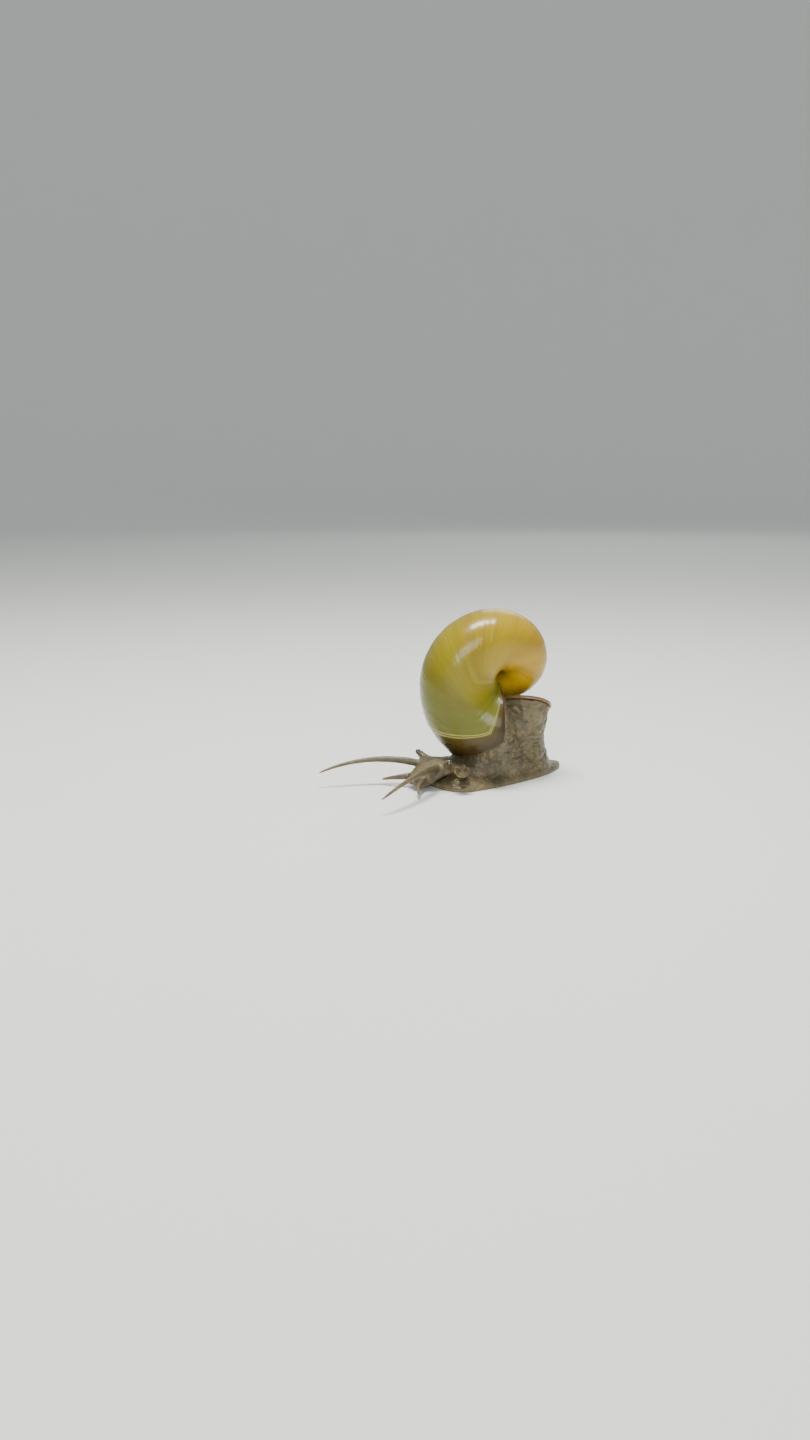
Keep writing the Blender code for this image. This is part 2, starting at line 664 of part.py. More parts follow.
def main():
    clear_scene()
    shell_gold = make_material("golden shell", SHELL_COLOUR, 0.18)
    flesh = make_material("wet flesh", FLESH_COLOUR, 0.35)
    sole = make_material("foot flesh", SOLE_COLOUR, 0.4)
    horn = make_material("horny operculum", OPERCULUM_COLOUR, 0.4)
    eye_black = make_material("eye", EYE_COLOUR, 0.1)
    make_shell(shell_gold)
    make_mantle(flesh)
    make_foot(sole)
    make_trunk(flesh)
    make_operculum(horn)
    make_neck(flesh)
    make_head(flesh)
    make_feelers("left", 1, (flesh, eye_black))
    make_feelers("right", -1, (flesh, eye_black))
    make_lobe("siphon_left", SIPHON_BASE, SIPHON_YAW, SIPHON_PITCH, SIPHON_LENGTH, SIPHON_RADII, flesh)
    make_lobe("neck_lobe_right", RIGHT_LOBE_BASE, RIGHT_LOBE_YAW, RIGHT_LOBE_PITCH, RIGHT_LOBE_LENGTH,
              RIGHT_LOBE_RADII, flesh)


main()
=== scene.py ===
# Looks of a golden apple snail, life size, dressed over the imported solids.
# Shapes are worked out in millimetres and become metres when a mesh is made.
import math

import bmesh
import bpy
import numpy as np
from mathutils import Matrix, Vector, noise


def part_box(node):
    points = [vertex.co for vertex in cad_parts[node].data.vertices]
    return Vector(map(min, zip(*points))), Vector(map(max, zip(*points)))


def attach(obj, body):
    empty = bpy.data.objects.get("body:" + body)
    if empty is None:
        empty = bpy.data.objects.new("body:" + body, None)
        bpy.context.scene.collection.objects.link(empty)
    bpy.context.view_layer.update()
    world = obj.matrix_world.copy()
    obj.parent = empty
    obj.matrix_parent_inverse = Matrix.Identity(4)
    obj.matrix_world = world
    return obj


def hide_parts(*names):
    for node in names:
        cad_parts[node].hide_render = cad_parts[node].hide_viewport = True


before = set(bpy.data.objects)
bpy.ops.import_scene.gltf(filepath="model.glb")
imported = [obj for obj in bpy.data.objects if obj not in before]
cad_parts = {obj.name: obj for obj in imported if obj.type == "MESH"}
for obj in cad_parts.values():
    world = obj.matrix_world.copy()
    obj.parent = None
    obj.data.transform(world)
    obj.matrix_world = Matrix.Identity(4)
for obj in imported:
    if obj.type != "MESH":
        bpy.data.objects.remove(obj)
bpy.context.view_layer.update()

mm = 0.001
fullTurn = 2 * math.pi
gap = 0.3                    # what the solids leave between pieces that meet
footCutFront = -7.0          # the solids' front cut through the foot, from the middle of the shell's mouth

footLow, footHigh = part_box("foot_middle")
mouthX = 500 * (footLow[0] + footHigh[0])
mouthY = 1000 * footLow[1] - footCutFront - gap / 2


# Small helpers for meshes

def atMouth(points):
    return np.asarray(points, float) + np.array((mouthX, mouthY, 0.0))


def between(pair, share):
    return pair[0] + (pair[1] - pair[0]) * share


def anglesRound(count):
    return fullTurn * np.arange(count) / count


def ovalReach(across, along, halfAcross, halfAlong, power):
    # how far an oval reaches in each direction; a higher power makes it squarer
    return (np.abs(across / halfAcross) ** power + np.abs(along / halfAlong) ** power) ** (-1 / power)


def readArray(items, name, width, kind=float):
    values = np.empty(len(items) * width, kind)
    items.foreach_get(name, values)
    return values.reshape(-1, width)


def ease(values, low, high):
    share = np.clip((np.asarray(values, float) - low) / (high - low), 0, 1)
    return share * share * (3 - 2 * share)


def unit(vectors):
    vectors = np.asarray(vectors, float)
    return vectors / np.maximum(np.linalg.norm(vectors, axis=-1, keepdims=True), 1e-12)


def newObject(name, points, faces, scale=mm):
    mesh = bpy.data.meshes.new(name)
    mesh.from_pydata((np.asarray(points) * scale).tolist(), [], faces)
    work = bmesh.new()
    work.from_mesh(mesh)
    bmesh.ops.recalc_face_normals(work, faces=work.faces)
    work.to_mesh(mesh)
    work.free()
    mesh.shade_smooth()
    obj = bpy.data.objects.new(name, mesh)
    bpy.context.scene.collection.objects.link(obj)
    return obj


def gridFaces(rows, columns, offset=0):
    # quads between rings, each ring closed on itself
    row, column = np.meshgrid(np.arange(rows - 1), np.arange(columns), indexing="ij")
    after = (column + 1) % columns
    quads = np.stack([row * columns + column, row * columns + after,
                      (row + 1) * columns + after, (row + 1) * columns + column], axis=-1)
    return (quads.reshape(-1, 4) + offset).tolist()


def fanFaces(start, columns, middle):
    return [(start + i, start + (i + 1) % columns, middle) for i in range(columns)]


def loft(name, rings, scale=1.0):
    # a closed tube through rings of equal count, with a fan over each end
    rings = np.asarray(rings, float)
    rows, columns = rings.shape[:2]
    points = np.concatenate([rings.reshape(-1, 3), rings[:1].mean(axis=1), rings[-1:].mean(axis=1)])
    faces = gridFaces(rows, columns) + fanFaces(0, columns, rows * columns)
    return newObject(name, points, faces + fanFaces((rows - 1) * columns, columns, rows * columns + 1), scale)


def applyModifiers(obj):
    graph = bpy.context.evaluated_depsgraph_get()
    mesh = bpy.data.meshes.new_from_object(obj.evaluated_get(graph))
    obj.modifiers.clear()
    obj.data = mesh
    return obj


def cutAway(obj, cutters):
    for cutter in cutters:
        modifier = obj.modifiers.new("cut", "BOOLEAN")
        modifier.operation = "DIFFERENCE"
        modifier.object = cutter
        modifier.solver = "EXACT"
        applyModifiers(obj)
        bpy.data.objects.remove(cutter)
    return obj


def setFloats(mesh, **fields):
    for name, values in fields.items():
        attribute = mesh.attributes.new(name, "FLOAT", "POINT")
        attribute.data.foreach_set("value", np.asarray(values, np.float32))


def wander(positions, spacing, seed, knotCount=4096):
    # smooth one-dimensional noise from -1 to 1 through seeded knots
    knots = np.random.default_rng(seed).uniform(-1, 1, knotCount)
    place = np.asarray(positions, float) / spacing
    index = np.floor(place).astype(int)
    share = place - index
    share = share * share * (3 - 2 * share)
    return knots[index % knotCount] * (1 - share) + knots[(index + 1) % knotCount] * share


def noiseAt(points, size, shift=0.0):
    stretched = np.asarray(points) / size + shift
    return np.array([noise.noise(Vector(point)) for point in stretched])


# Small helpers for materials

def addNode(tree, kind, inputs=None, **settings):
    # a value goes to the socket itself, and a socket is linked to it
    node = tree.nodes.new(kind)
    for key, value in settings.items():
        setattr(node, key, value)
    for key, value in (inputs or {}).items():
        if isinstance(value, bpy.types.NodeSocket):
            tree.links.new(value, node.inputs[key])
        else:
            node.inputs[key].default_value = value
    return node


def math2(tree, operation, first, second=0.0, clamp=False):
    inputs = {0: first, 1: second}
    return addNode(tree, "ShaderNodeMath", inputs, operation=operation, use_clamp=clamp).outputs[0]


def times(tree, first, second):
    return math2(tree, "MULTIPLY", first, second)


def plus(tree, first, second, clamp=False):
    return math2(tree, "ADD", first, second, clamp)


def oneMinus(tree, value):
    return math2(tree, "SUBTRACT", 1.0, value)


def remap(tree, value, low, high, newLow=0.0, newHigh=1.0):
    inputs = {"Value": value, "From Min": low, "From Max": high, "To Min": newLow, "To Max": newHigh}
    return addNode(tree, "ShaderNodeMapRange", inputs, interpolation_type="SMOOTHSTEP").outputs["Result"]


def blendColours(tree, share, first, second, how="MIX"):
    node = addNode(tree, "ShaderNodeMix", {"Factor": share}, data_type="RGBA", blend_type=how)
    for socket, colour in ((node.inputs[6], first), (node.inputs[7], second)):
        if isinstance(colour, bpy.types.NodeSocket):
            tree.links.new(colour, socket)
        else:
            socket.default_value = (*colour, 1.0)
    return node.outputs[2]


def layer(tree, colour, mask, strength, over):
    # lays a colour over another where the mask is, at a given strength
    return blendColours(tree, times(tree, mask, strength), colour, over)


def readFields(tree, *names):
    return [addNode(tree, "ShaderNodeAttribute", attribute_name=name).outputs["Fac"] for name in names]


def newGroup(name, inputs, outputs):
    # each input has its usual value, or None where it is a vector
    tree = bpy.data.node_groups.new(name, "ShaderNodeTree")
    for socketName, value in inputs.items():
        kind = "NodeSocketVector" if value is None else "NodeSocketFloat"
        socket = tree.interface.new_socket(socketName, in_out="INPUT", socket_type=kind)
        if value is not None:
            socket.default_value = value
    for socketName in outputs:
        tree.interface.new_socket(socketName, in_out="OUTPUT", socket_type="NodeSocketFloat")
    return tree, tree.nodes.new("NodeGroupInput").outputs, tree.nodes.new("NodeGroupOutput").inputs


def useGroup(tree, group, **inputs):
    return addNode(tree, "ShaderNodeGroup", inputs, node_tree=group).outputs


def growthLineGroup():
    # lines across a growing shell or plate: they run along Across and follow each other along Growth
    tree, given, result = newGroup(
        "growthLines", {"Growth": 0.0, "Across": 0.0, "Spacing": 1.0, "Waver": 0.3}, ("Mask", "Height"))
    along = math2(tree, "DIVIDE", given["Growth"], given["Spacing"])
    across = times(tree, given["Across"], given["Waver"])
    place = addNode(tree, "ShaderNodeCombineXYZ", {"X": along, "Y": across}).outputs[0]
    inputs = {"Vector": place, "Scale": 1.0, "Detail": 3.0, "Roughness": 0.6}
    streaks = addNode(tree, "ShaderNodeTexNoise", inputs, noise_dimensions="2D").outputs["Fac"]
    tree.links.new(remap(tree, streaks, 0.32, 0.68), result["Mask"])
    tree.links.new(streaks, result["Height"])
    return tree


def mottleGroup():
    # soft patches of a given size, with a mask from 0 to 1
    tree, given, result = newGroup("mottle", {"Place": None, "Size": 1.0, "Edge": 0.2}, ("Mask",))
    inputs = {"Vector": given["Place"], "Scale": math2(tree, "DIVIDE", 1.0, given["Size"]), "Detail": 4.0,
              "Roughness": 0.55, "Distortion": 0.4}
    cloud = addNode(tree, "ShaderNodeTexNoise", inputs).outputs["Fac"]
    low = math2(tree, "SUBTRACT", 0.5, given["Edge"])
    high = plus(tree, 0.5, given["Edge"])
    tree.links.new(remap(tree, cloud, low, high), result["Mask"])
    return tree


def grainGroup():
    # rounded warts parted by creases, with finer grain on them
    tree, given, result = newGroup(
        "wartyGrain", {"Place": None, "Size": 0.6, "Grain": 0.3}, ("Height", "Crease"))
    scale = math2(tree, "DIVIDE", 1.0, given["Size"])
    inputs = {"Vector": given["Place"], "Scale": times(tree, scale, 0.7), "Detail": 2.0}
    warped = addNode(tree, "ShaderNodeTexNoise", inputs).outputs["Color"]
    shift = addNode(tree, "ShaderNodeVectorMath", {0: warped, "Scale": 0.35}, operation="SCALE").outputs[0]
    place = addNode(tree, "ShaderNodeVectorMath", {0: given["Place"], 1: shift}, operation="ADD").outputs[0]
    inputs = {"Vector": place, "Scale": scale, "Smoothness": 0.35, "Randomness": 0.9}
    cells = addNode(tree, "ShaderNodeTexVoronoi", inputs, feature="SMOOTH_F1").outputs["Distance"]
    inputs = {"Vector": given["Place"], "Scale": times(tree, scale, 5.0), "Detail": 3.0}
    fine = addNode(tree, "ShaderNodeTexNoise", inputs).outputs["Fac"]
    height = plus(tree, remap(tree, cells, 0.75, 0.05), times(tree, fine, given["Grain"]))
    tree.links.new(height, result["Height"])
    # the creases as a mask, which the skin uses for painted shade
    tree.links.new(remap(tree, cells, 0.45, 0.8), result["Crease"])
    return tree


growthLines = growthLineGroup()
mottle = mottleGroup()
wartyGrain = grainGroup()


def lineSets(tree, growth, around, pairs):
    # growth lines of several spacings, each with its waver
    across = math2(tree, "COSINE", around)
    return [useGroup(tree, growthLines, Growth=growth, Across=across, Spacing=spacing, Waver=waver)
            for spacing, waver in pairs]


def patchMask(tree, place, size, edge):
    return useGroup(tree, mottle, Place=place, Size=size, Edge=edge)["Mask"]


def newMaterial(name, **sockets):
    material = bpy.data.materials.new(name)
    material.use_nodes = True
    tree = material.node_tree
    shader = tree.nodes["Principled BSDF"]
    for key, value in sockets.items():
        shader.inputs[key.replace("_", " ")].default_value = value
    return material, tree, shader


def linkShader(tree, shader, colour, rough=None, height=None, bump=0.0, bumpDepth=0.0):
    # bumpDepth is in millimetres
    tree.links.new(colour, shader.inputs["Base Color"])
    if rough is not None:
        tree.links.new(rough, shader.inputs["Roughness"])
    if height is not None:
        inputs = {"Height": height, "Strength": bump, "Distance": bumpDepth * mm}
        tree.links.new(addNode(tree, "ShaderNodeBump", inputs).outputs["Normal"], shader.inputs["Normal"])


def placeInMillimetres(tree):
    place = addNode(tree, "ShaderNodeTexCoord").outputs["Object"]
    return addNode(tree, "ShaderNodeVectorMath", {0: place, "Scale": 1000.0}, operation="SCALE").outputs[0]


# Shell: an oval tube that coils round an axis and grows by a constant factor each turn

shellForm = {
    "growthPerTurn": 2.45, "turns": 4.5, "halfWidth": 10.3, "halfHeight": 10.6, "squareness": 2.2,
    "shoulderSwell": 0.045, "shoulderAngle": 62.0, "shoulderSpread": 22.0,
    "axisToTube": 11.3, "apexToTube": 18.6,
    "lipPlaneOffset": 9.7, "lipTurnLimit": 58.0, "lipCornerRounding": 0.2, "lipSolveSteps": 14,
    "apexAzimuth": 150.5, "apexElevation": 18.3, "lipDrop": 30.5,
    "outerRadius": 21.6,         # from the axis to the outside of the last whorl at the mouth
    "lipEdge": 0.42, "wall": 1.0, "wallReach": 4.0, "hollow": 75.0,
    "lipRounding": ((0.003, 0.06), (0.007, 0.14), (0.009, 0.21), (0.007, 0.28), (0.003, 0.36)),
    "sectionPoints": 176, "rowStep": 0.27, "widestStep": 4.5,
    "ripple": 0.045, "rippleSpacing": 2.3, "fineRipple": 0.022, "fineRippleSpacing": 0.75,
    "restMark": -0.375, "restMarkStep": 0.045, "restMarkWidth": 0.0085, "restMarkHeight": 0.1,
    "lastGrowthDip": 0.1, "reliefFrom": 12.0,
}


def shellAxes(form):
    # columns: outward to the mouth, against the growth at the mouth, along the axis to the apex
    azimuth, elevation = math.radians(form["apexAzimuth"]), math.radians(form["apexElevation"])
    axis = Vector((math.cos(elevation) * math.cos(azimuth), math.cos(elevation) * math.sin(azimuth),
                   math.sin(elevation)))
    upward = (Vector((0, 0, 1)) - axis * axis.z).normalized()
    outward = upward.cross(axis)
    drop = math.radians(form["lipDrop"])
    toMouth = outward * math.cos(drop) - upward * math.sin(drop)
    againstGrowth = outward * math.sin(drop) + upward * math.cos(drop)
    return np.array((toMouth, againstGrowth, axis)).T


axes = shellAxes(shellForm)
growthWay = -axes[:, 1]


def sizeAt(form, turn):
    # the tube's size against its size at the growing edge
    return form["growthPerTurn"] ** (turn / fullTurn)


def tubeSection(form, count, inset=0.0):
    # u runs outward from the coiling axis and v towards the apex
    angle = anglesRound(count)
    across, along = np.cos(angle), np.sin(angle)
    halfWidth, halfHeight = form["halfWidth"] - inset, form["halfHeight"] - inset
    radius = ovalReach(across, along, halfWidth, halfHeight, form["squareness"])
    offShoulder = (np.degrees(angle) - form["shoulderAngle"] + 180) % 360 - 180
    radius = radius * (1 + form["shoulderSwell"] * np.exp(-(offShoulder / form["shoulderSpread"]) ** 2))
    return radius * across, radius * along


def lipTurn(form, u):
    # how far round the axis the growing edge stands: in one plane, but the inner lip stops short of it
    turn = np.zeros_like(u)
    limit, offset = math.radians(form["lipTurnLimit"]), form["lipPlaneOffset"]
    soft = form["lipCornerRounding"]
    for _ in range(form["lipSolveSteps"]):
        fromAxis = sizeAt(form, turn) * (form["axisToTube"] + u)
        planeTurn = np.arcsin(np.minimum(1.0, offset / np.maximum(fromAxis, offset)))
        turn = (turn - soft * np.log(np.exp(-planeTurn / soft) + math.exp(-limit / soft))) / 2
    return turn


def tubePoints(form, turn, u, v, raised=0.0):
    # points of the tube from the apex; turn is radians round the axis from the growing edge
    angle = turn + lipTurn(form, u)
    size = sizeAt(form, angle)
    swell = 1 + raised / (size * np.hypot(u, v))
    fromAxis = size * (form["axisToTube"] + u * swell)
    local = np.stack([fromAxis * np.cos(angle), -fromAxis * np.sin(angle),
                      size * (v * swell - form["apexToTube"])], axis=-1)
    return local @ axes.T, angle, size


def insideTube(form, angle, fromAxis, height):
    # how far inside the tube a point lies, in millimetres, where the tube passes at this angle round the axis
    size = sizeAt(form, angle)
    u = fromAxis / size - form["axisToTube"]
    v = height / size + form["apexToTube"]
    power = form["squareness"]
    reach = (np.abs(u / form["halfWidth"]) ** power + np.abs(v / form["halfHeight"]) ** power) ** (1 / power)
    return (1 - reach) * size * form["halfWidth"]


def growthPlace(form, turn):
    # millimetres of growth along the outside of the shell
    return form["outerRadius"] * fullTurn / math.log(form["growthPerTurn"]) * sizeAt(form, turn)


def shellRows(form):
    # turns of the rings from the apex to the lip, closer together at the rest mark and at the lip
    turns = [0.0]
    while turns[-1] > -form["turns"] * fullTurn:
        turn = turns[-1]
        step = form["rowStep"] / (form["outerRadius"] * sizeAt(form, turn))
        step = min(step, math.radians(form["widestStep"]))
        if abs(turn - form["restMark"] + form["restMarkStep"] / 2) < 0.09 or turn > -0.02:
            step *= 0.3
        turns.append(turn - step)
    return np.array(turns[::-1])


def restLines(form, turn):
    middle, step = form["restMark"], form["restMarkStep"]
    return sum(np.exp(-((turn - place) / form["restMarkWidth"]) ** 2) for place in (middle, middle - step))


def shellRelief(form, turn, around, growth, u):
    relief = form["ripple"] * wander(growth + 0.8 * np.sin(around * 2), form["rippleSpacing"], 3)
    waved = growth + 0.25 * np.sin(around * 3 + 1)
    relief += form["fineRipple"] * wander(waved, form["fineRippleSpacing"], 5)
    relief *= np.minimum(1, sizeAt(form, turn) * 1.6)
    relief += form["restMarkHeight"] * restLines(form, turn)
    relief -= form["lastGrowthDip"] * ease(turn, form["restMark"], form["restMark"] + 0.06)
    # the growth lines run together towards the axis, so they flatten there
    return relief * np.minimum(1, (form["axisToTube"] + u) / form["reliefFrom"])


def makeShell(form):
    count = form["sectionPoints"]
    turns = shellRows(form)
    u, v = (part[None, :] for part in tubeSection(form, count))
    around = np.tile(anglesRound(count), (len(turns), 1))
    turn = np.tile(turns[:, None], (1, count))
    growth = growthPlace(form, turn)
    relief = shellRelief(form, turn, around, growth, u)
    outer, angle, realSize = tubePoints(form, turn, u, v, relief)

    # what lies deep in the neighbouring whorls doesn't show and is left out
    fromAxis, height = realSize * (form["axisToTube"] + u), realSize * (v - form["apexToTube"])
    inOlder = insideTube(form, angle - fullTurn, fromAxis, height)
    inNewer = insideTube(form, angle + fullTurn, fromAxis, height)
    newerGrown = turn + fullTurn < -math.radians(form["hollow"])
    hidden = (inOlder > 0.5) | ((inNewer > 0.6) & newerGrown)

    # the lip is rounded, and the wall thickens inward from it
    inward = -np.linspace(0.0, 1.0, 110) ** 1.4 * math.radians(form["hollow"])
    thinner = form["wall"] - form["lipEdge"]
    inside = list(form["lipRounding"]) + [
        (t, form["wall"] - thinner * math.exp(t * form["outerRadius"] / form["wallReach"])) for t in inward]
    innerTurn = np.array([np.full(count, t) for t, _ in inside])
    dip = -form["lastGrowthDip"] * 0.5
    inner = np.array([tubePoints(form, row, *tubeSection(form, count, inset), dip)[0]
                      for row, (_, inset) in zip(innerTurn, inside)])

    rows = len(outer) + len(inner)
    points = np.concatenate([outer, inner]).reshape(-1, 3)
    faces = np.array(gridFaces(rows, count))
    shown = np.concatenate([~hidden, np.ones(inner.shape[:2], bool)]).reshape(-1)
    faces = faces[shown[faces].any(axis=1)].tolist()
    faces += fanFaces(0, count, len(points)) + fanFaces((rows - 1) * count, count, len(points) + 1)
    apexTip = outer[0].mean(axis=0) + axes[:, 2] * 0.12
    obj = newObject("goldenShell", np.concatenate([points, [apexTip, inner[-1].mean(axis=0)]]), faces)

    blank = np.zeros(inner.shape[:2])
    fields = {
        "turn": (turn, innerTurn),
        "growth": (growth, growthPlace(form, innerTurn)),
        "around": (around, around[:len(inner)]),
        "suture": (np.clip(-inOlder, 0, 8), blank + 8.0),
        "restLine": (restLines(form, turn), blank),
        "inside": (np.zeros_like(turn), blank + 1.0),
    }
    for name, parts in fields.items():
        values = np.concatenate(parts)
        setFloats(obj.data, **{name: np.append(values.reshape(-1), (values[0, 0], values[-1, 0]))})
    work = bmesh.new()
    work.from_mesh(obj.data)
    loose = [vertex for vertex in work.verts if not vertex.link_faces]
    bmesh.ops.delete(work, geom=loose, context="VERTS")
    work.to_mesh(obj.data)
    work.free()
    return obj


def placeInBox(obj, node):
    # moves a piece built from the same sizes onto the solid that it dresses
    points = readArray(obj.data.vertices, "co", 3)
    low, high = (np.array(corner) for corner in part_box(node))
    shift = (low + high - points.min(axis=0) - points.max(axis=0)) / 2
    obj.data.vertices.foreach_set("co", (points + shift).reshape(-1))
    obj.data.update()
    return shift / mm


shell = makeShell(shellForm)
apexPoint = placeInBox(shell, "shell")
print("shell:", len(shell.data.polygons), "faces")

shellFinish = {
    "apexPale": (0.55, 0.40, 0.09), "gold": (0.50, 0.30, 0.004), "midGold": (0.37, 0.27, 0.004),
    "fleshAndShadeOlive": (0.145, 0.15, 0.006), "newGrowthAndShadeBrown": (0.085, 0.055, 0.008), "lipFleshAndShadeBrown": (0.045, 0.026, 0.008),
    "paleLine": (0.62, 0.52, 0.18), "sutureShadeBrown": (0.14, 0.08, 0.012), "nacre": (0.42, 0.34, 0.20),
    # the olive and brown stops near the lip are partly flesh under thin new shell and partly painted shade of
    # the lower whorl
    "stops": ((0.0, "apexPale"), (0.35, "gold"), (0.80, "gold"), (0.88, "midGold"), (0.955, "fleshAndShadeOlive"),
              (0.979, "fleshAndShadeOlive"), (0.983, "newGrowthAndShadeBrown"), (1.0, "lipFleshAndShadeBrown")),
    "zoneTint": (0.62, 0.55, 0.42), "zoneDepth": 0.45, "streakTint": (0.7, 0.58, 0.4), "streakDepth": 0.35,
    "fineLineTint": (0.6, 0.5, 0.35), "fineLineDepth": 0.2, "cloudTint": (0.8, 0.85, 0.7), "cloudDepth": 0.2,
    "lines": ((0.5, 0.5), (2.6, 0.35), (9.0, 0.2)),
    "sutureShadeDepth": 0.6, "restLineDepth": 0.75, "bump": 0.35, "bumpDepth": 0.12,
}


def shellMaterial(finish):
    material, tree, shader = newMaterial(
        "goldenShell", Subsurface_Weight=0.12, Subsurface_Radius=(1.0, 0.65, 0.08), Subsurface_Scale=0.0014,
        Coat_Weight=0.3, Coat_Roughness=0.06, Coat_IOR=1.4, IOR=1.38)
    turn, growth, around, suture, restLine, inside = readFields(
        tree, "turn", "growth", "around", "suture", "restLine", "inside")
    fine, streak, zone = lineSets(tree, growth, around, finish["lines"])
    cloud = patchMask(tree, placeInMillimetres(tree), 6.0, 0.22)

    # colours along the last three turns: the golden older whorls turn olive and then brown towards the lip,
    # partly the flesh showing through the thin newest shell and partly painted shade where the lower body
    # whorl faces down
    inputs = {"Value": turn, "From Min": -3 * fullTurn, "From Max": 0.0}
    ramp = addNode(tree, "ShaderNodeValToRGB", {0: addNode(tree, "ShaderNodeMapRange", inputs).outputs[0]})
    elements = ramp.color_ramp.elements
    while len(elements) < len(finish["stops"]):
        elements.new(0.5)
    for element, (position, colour) in zip(elements, finish["stops"]):
        element.position = position
        element.color = (*finish[colour], 1.0)
    colour = ramp.outputs["Color"]
    for mask, name in ((zone["Mask"], "zone"), (streak["Mask"], "streak"), (fine["Mask"], "fineLine"),
                       (cloud, "cloud")):
        darker = blendColours(tree, 1.0, colour, finish[name + "Tint"], "MULTIPLY")
        colour = layer(tree, colour, mask, finish[name + "Depth"], darker)
    # painted shade: a brown band darkens the shell where each whorl meets the older one, in the crease of the
    # suture and the umbilicus
    shadeNearSuture = remap(tree, suture, 1.1, 0.1)
    colour = layer(tree, colour, shadeNearSuture, finish["sutureShadeDepth"], finish["sutureShadeBrown"])
    colour = layer(tree, colour, restLine, finish["restLineDepth"], finish["paleLine"])
    colour = blendColours(tree, inside, colour, finish["nacre"])
    rough = plus(tree, plus(tree, times(tree, streak["Mask"], 0.08), 0.24), times(tree, cloud, 0.05))
    height = plus(tree, times(tree, fine["Height"], 0.7), streak["Height"])
    linkShader(tree, shader, colour, rough, height, finish["bump"], finish["bumpDepth"])
    return material


shell.data.materials.append(shellMaterial(shellFinish))
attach(shell, "root")
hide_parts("shell")


# Skin: lofts of each part of the body, fused into one surface

footForm = {"front": -14.5, "middle": -4.0, "back": 27.0, "halfWidth": 10.3, "height": 3.5, "rim": 0.6,
            "tailHeight": 1.1, "frontHeight": 1.5, "frontSlope": 6.0, "tailSlope": 14.0,
            "frontPowers": (4.5, 2.2), "tailPowers": (2.1, 1.8)}
trunkForm = {"inset": 1.12, "deep": -0.9, "collar": 0.32, "collarReach": 0.05, "groove": 0.55,
             "grooveDrop": 0.45, "drop": 1.6, "rounding": 5, "baseHeight": 3.6, "baseMiddle": 3.0,
             "baseHalfWidth": 8.2, "baseHalfLength": 13.0, "basePower": 2.4, "foot": 2.0}
plateForm = {"tilt": 22.0, "roll": 18.0, "middle": (0.2, 13.2, 17.4), "halfLength": 9.6, "halfWidth": 7.0,
             "thickness": 0.9, "hollow": 0.9, "rings": 9, "ridges": 0.05}
padForm = {"middle": (-0.2, 13.6), "halfX": 8.1, "halfY": 9.4, "foot": 1.2, "waist": 0.8, "rim": 0.97,
           "sunk": 0.4}
# y, half width, bottom and top of the neck and head
neckStations = (
    (-2.0, 6.0, 3.4, 5.8), (-6.3, 6.1, 3.2, 6.2), (-8.6, 5.9, 3.1, 6.3), (-10.4, 5.3, 3.0, 6.7),
    (-11.9, 5.1, 3.0, 7.1), (-13.2, 5.2, 2.8, 7.3), (-14.6, 4.9, 2.3, 7.1), (-16.0, 4.3, 1.4, 6.4),
    (-17.4, 3.8, 0.9, 5.5), (-18.6, 3.4, 0.8, 4.7), (-19.5, 2.8, 1.0, 4.1), (-20.1, 1.8, 1.4, 3.5),
)
feelerForm = {
    "tentacle": {"base": (3.0, -15.0, 5.2), "yaw": (38.0, 14.0), "pitch": (14.0, -20.0), "length": 27.0,
                 "radii": (1.05, 0.26)},
    "palp": {"base": (2.3, -18.3, 2.8), "yaw": (30.0, 62.0), "pitch": (-2.0, -16.0), "length": 8.5,
             "radii": (0.95, 0.26)},
    "stalk": {"base": (3.9, -12.9, 5.9), "yaw": 70.0, "pitch": 28.0, "length": 3.0, "radii": (1.0, 0.84),
              "eyeRadius": 0.72},
}
lobeForms = (
    {"base": (6.4, -9.6, 5.1), "yaw": 52.0, "pitch": 12.0, "length": 5.4, "radii": (1.25, 1.95)},
    {"base": (-6.3, -9.4, 5.1), "yaw": -58.0, "pitch": 6.0, "length": 3.6, "radii": (1.1, 1.5)},
)
lobeWall, lobeArc = 0.62, 230.0
skinForm = {"voxel": 0.15, "smoothing": 6, "filleting": 40}


def footRings(form, rows=150, sides=90):
    rings = []
    across = np.cos(math.pi * np.arange(sides) / (sides - 1))
    for share in (1 - np.cos(math.pi * (np.arange(rows) + 0.35) / (rows - 0.3))) / 2:
        y = between((form["front"], form["back"]), share)
        end = "front" if y < form["middle"] else "tail"
        tip = form["front"] if y < form["middle"] else form["back"]
        bulge, rounding = form[end + "Powers"]
        part = (y - form["middle"]) / (tip - form["middle"])
        half = form["halfWidth"] * (1 - part ** bulge) ** (1 / rounding)
        slope = min(ease(y, form["front"], form["front"] + form["frontSlope"]),
                    ease(-y, -form["back"], -form["back"] + form["tailSlope"]))
        height = between((form[end + "Height"], form["height"]), slope)
        rim = min(form["rim"], height * 0.6)
        lift = rim + (height - rim) * (1 - np.abs(across) ** 3.0) ** 0.75
        top = np.stack([half * across, np.full(sides, y), lift], axis=-1)
        bottom = [(half * part, y, 0.0) for part in (-0.985, -0.5, 0.5, 0.985)]
        rings.append(np.concatenate([top, bottom]))
    return atMouth(rings)


def plateAxes(form):
    # rows: to the animal's left, up the slope towards the shell, and out of the plate
    tilt, roll = math.radians(form["tilt"]), math.radians(form["roll"])
    left, out = np.array((1, 0, 0)), np.array((0, math.sin(tilt), math.cos(tilt)))
    return np.array((left * math.cos(roll) + out * math.sin(roll), (0, -math.cos(tilt), math.sin(tilt)),
                     out * math.cos(roll) - left * math.sin(roll)))


def platePoints(form, across, along, out):
    local = np.stack(np.broadcast_arrays(across, along, out), axis=-1)
    return atMouth(form["middle"]) + local @ plateAxes(form)


